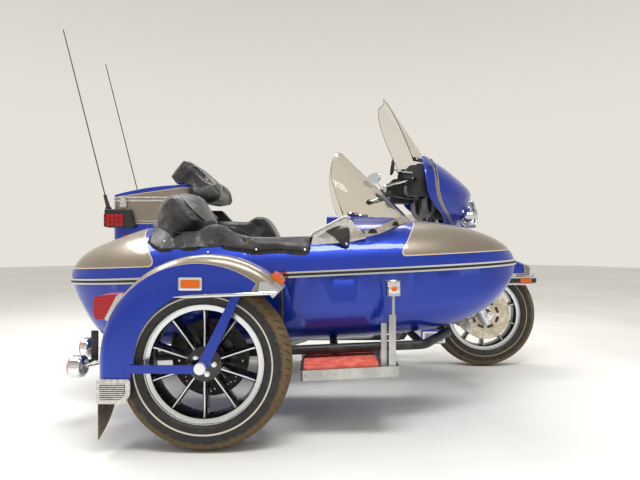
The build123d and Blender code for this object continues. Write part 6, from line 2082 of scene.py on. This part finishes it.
# Pixels of the photograph
PILLOW_WELT = ((193, 166.5), (184.5, 175.5), (181.5, 182.5), (186, 190.5), (194, 196.5), (204, 199.5),
               (213, 200.5), (219, 196), (217.5, 188.5), (211, 181.5), (203, 173.5))


class SIDECAR_OT_saddle(bpy.types.Operator):
    """Rider's saddle and the passenger's pillow, both stuffed, with their welts"""
    bl_idname = "sidecar.saddle"
    bl_label = "Saddle and pillow"

    def execute(self, context):
        seat = stuffed("saddle_hide", "rider_seat", 0.009, 4.0, 0.012, 0.006)
        seat = finish("saddle_hide", seat, ["worn_leather"], "chassis", ["rider_seat"], 60)
        middle = DATUM.y

        def taper(p):
            """How far a point of the pillow moves: back and up, and in at the ends."""
            across = min(1.0, abs(p.y - middle) / 0.25) ** 2
            return Vector((-0.026, (middle - p.y) * 0.14, 0.014 - 0.006 * across))

        pillow = stuffed("pillow_hide", "backrest", 0.008, 5.0, 0.020, 0.010, None, taper)
        pillow = finish("pillow_hide", pillow, ["worn_leather"], "tour_lid", ["backrest"], 60)
        oval = [spot + normal * 0.0015 for spot, normal in seen_spots(tree_of(pillow), PILLOW_WELT)
                if abs(normal.y) > 0.15]
        bm = bmesh.new()
        add_cords(bm, [oval, [Vector((p.x, 2 * middle - p.y, p.z)) for p in oval]], 0.0032, closed=True)
        make("pillow_welts", bm, ["worn_leather"], "tour_lid")
        return {"FINISHED"}


# Along its axis and radius, metres
CLEANER_FACE = [(-0.1785, 0.0), (-0.1785, 0.060), (-0.1812, 0.064), (-0.1812, 0.068), (-0.1775, 0.071)]
# Ahead and up in the datum, millimetres
PUSHRODS = ((118, 415), (134, 420), (166, 420), (182, 415))
# Along its axis and radius, metres
TANK_CAP = [(0, 0), (0, 0.034), (-0.010, 0.036), (-0.016, 0.030), (-0.018, 0)]
# Ahead and up in the datum, millimetres
PRIMARY_SCREWS = ((-96, 250), (-96, 360), (60, 376), (262, 360), (276, 300), (262, 246), (60, 234),
                  (-20, 388), (160, 384))


class SIDECAR_OT_engine(bpy.types.Operator):
    """Pushrod tubes, bolts and air cleaner face on the engine, and the tank's caps"""
    bl_idname = "sidecar.engine"
    bl_label = "Engine details"

    def execute(self, context):
        bm = bmesh.new()
        add_lathe(bm, CLEANER_FACE, 64, move(*at(150, 0, 530)), closed=False)
        for x, top in PUSHRODS:
            head = at(150 + (x - 150) * 2.7, -88, top + 92)
            add_tube(bm, [at(x, -92, 372), head], 0.0085, each=1, sides=16)
        for x, z in ((200, 915), (262, 903)):
            add_lathe(bm, TANK_CAP, 40, move(*at(x, 0, z)) @ turn(-90, "X"), closed=False)
        make("engine_chrome", bm, ["chrome_plate"], "chassis")
        rows = [(at(150 + 52 * sin(a), -181, 530 + 52 * cos(a)), NO_TURN) for a in (0.5, 2.6, 4.7)]
        rows += [(at(205 + x, -104, 300 + z), NO_TURN) for z, x in ring_points(56, 6)]
        rows += [(at(x, 152, z), HALF_TURN) for x, z in PRIMARY_SCREWS]
        repeat("engine_screws", hex_bolt(0.010, 0.005), rows, "chrome_plate", "chassis")
        return {"FINISHED"}


class SIDECAR_PT_parts(bpy.types.Panel):
    """Sizes, and a button for each part"""
    bl_idname = "SIDECAR_PT_parts"
    bl_label = "Sidecar motorcycle"
    bl_space_type = "VIEW_3D"
    bl_region_type = "UI"
    bl_category = "Sidecar"

    def draw(self, context):
        column = self.layout.column()
        for group in (settings().wheels, settings().studio):
            for name in group.bl_rna.properties.keys():
                if name not in ("rna_type", "name"):
                    column.prop(group, name)
        for entry in CLASSES:
            if issubclass(entry, bpy.types.Operator):
                column.operator(entry.bl_idname)


CLASSES = (
    WheelSizes,
    StudioSettings,
    SidecarSettings,
    SIDECAR_OT_studio,
    SIDECAR_OT_coats,
    SIDECAR_OT_wheels,
    SIDECAR_OT_wheel_cover,
    SIDECAR_OT_body,
    SIDECAR_OT_step,
    SIDECAR_OT_cockpit_leather,
    SIDECAR_OT_screen,
    SIDECAR_OT_fairing,
    SIDECAR_OT_controls,
    SIDECAR_OT_front_fender,
    SIDECAR_OT_luggage,
    SIDECAR_OT_saddle,
    SIDECAR_OT_engine,
    SIDECAR_PT_parts,
)


def main():
    """Build every piece in turn."""
    register()
    for kind in CLASSES:
        if issubclass(kind, bpy.types.Operator):
            group, name = kind.bl_idname.split(".")
            getattr(getattr(bpy.ops, group), name)()


def register():
    for kind in CLASSES:
        bpy.utils.register_class(kind)
    bpy.types.Scene.sidecar_motorcycle = PointerProperty(type=SidecarSettings)


def unregister():
    del bpy.types.Scene.sidecar_motorcycle
    for kind in reversed(CLASSES):
        bpy.utils.unregister_class(kind)


if __name__ == "__main__":
    main()
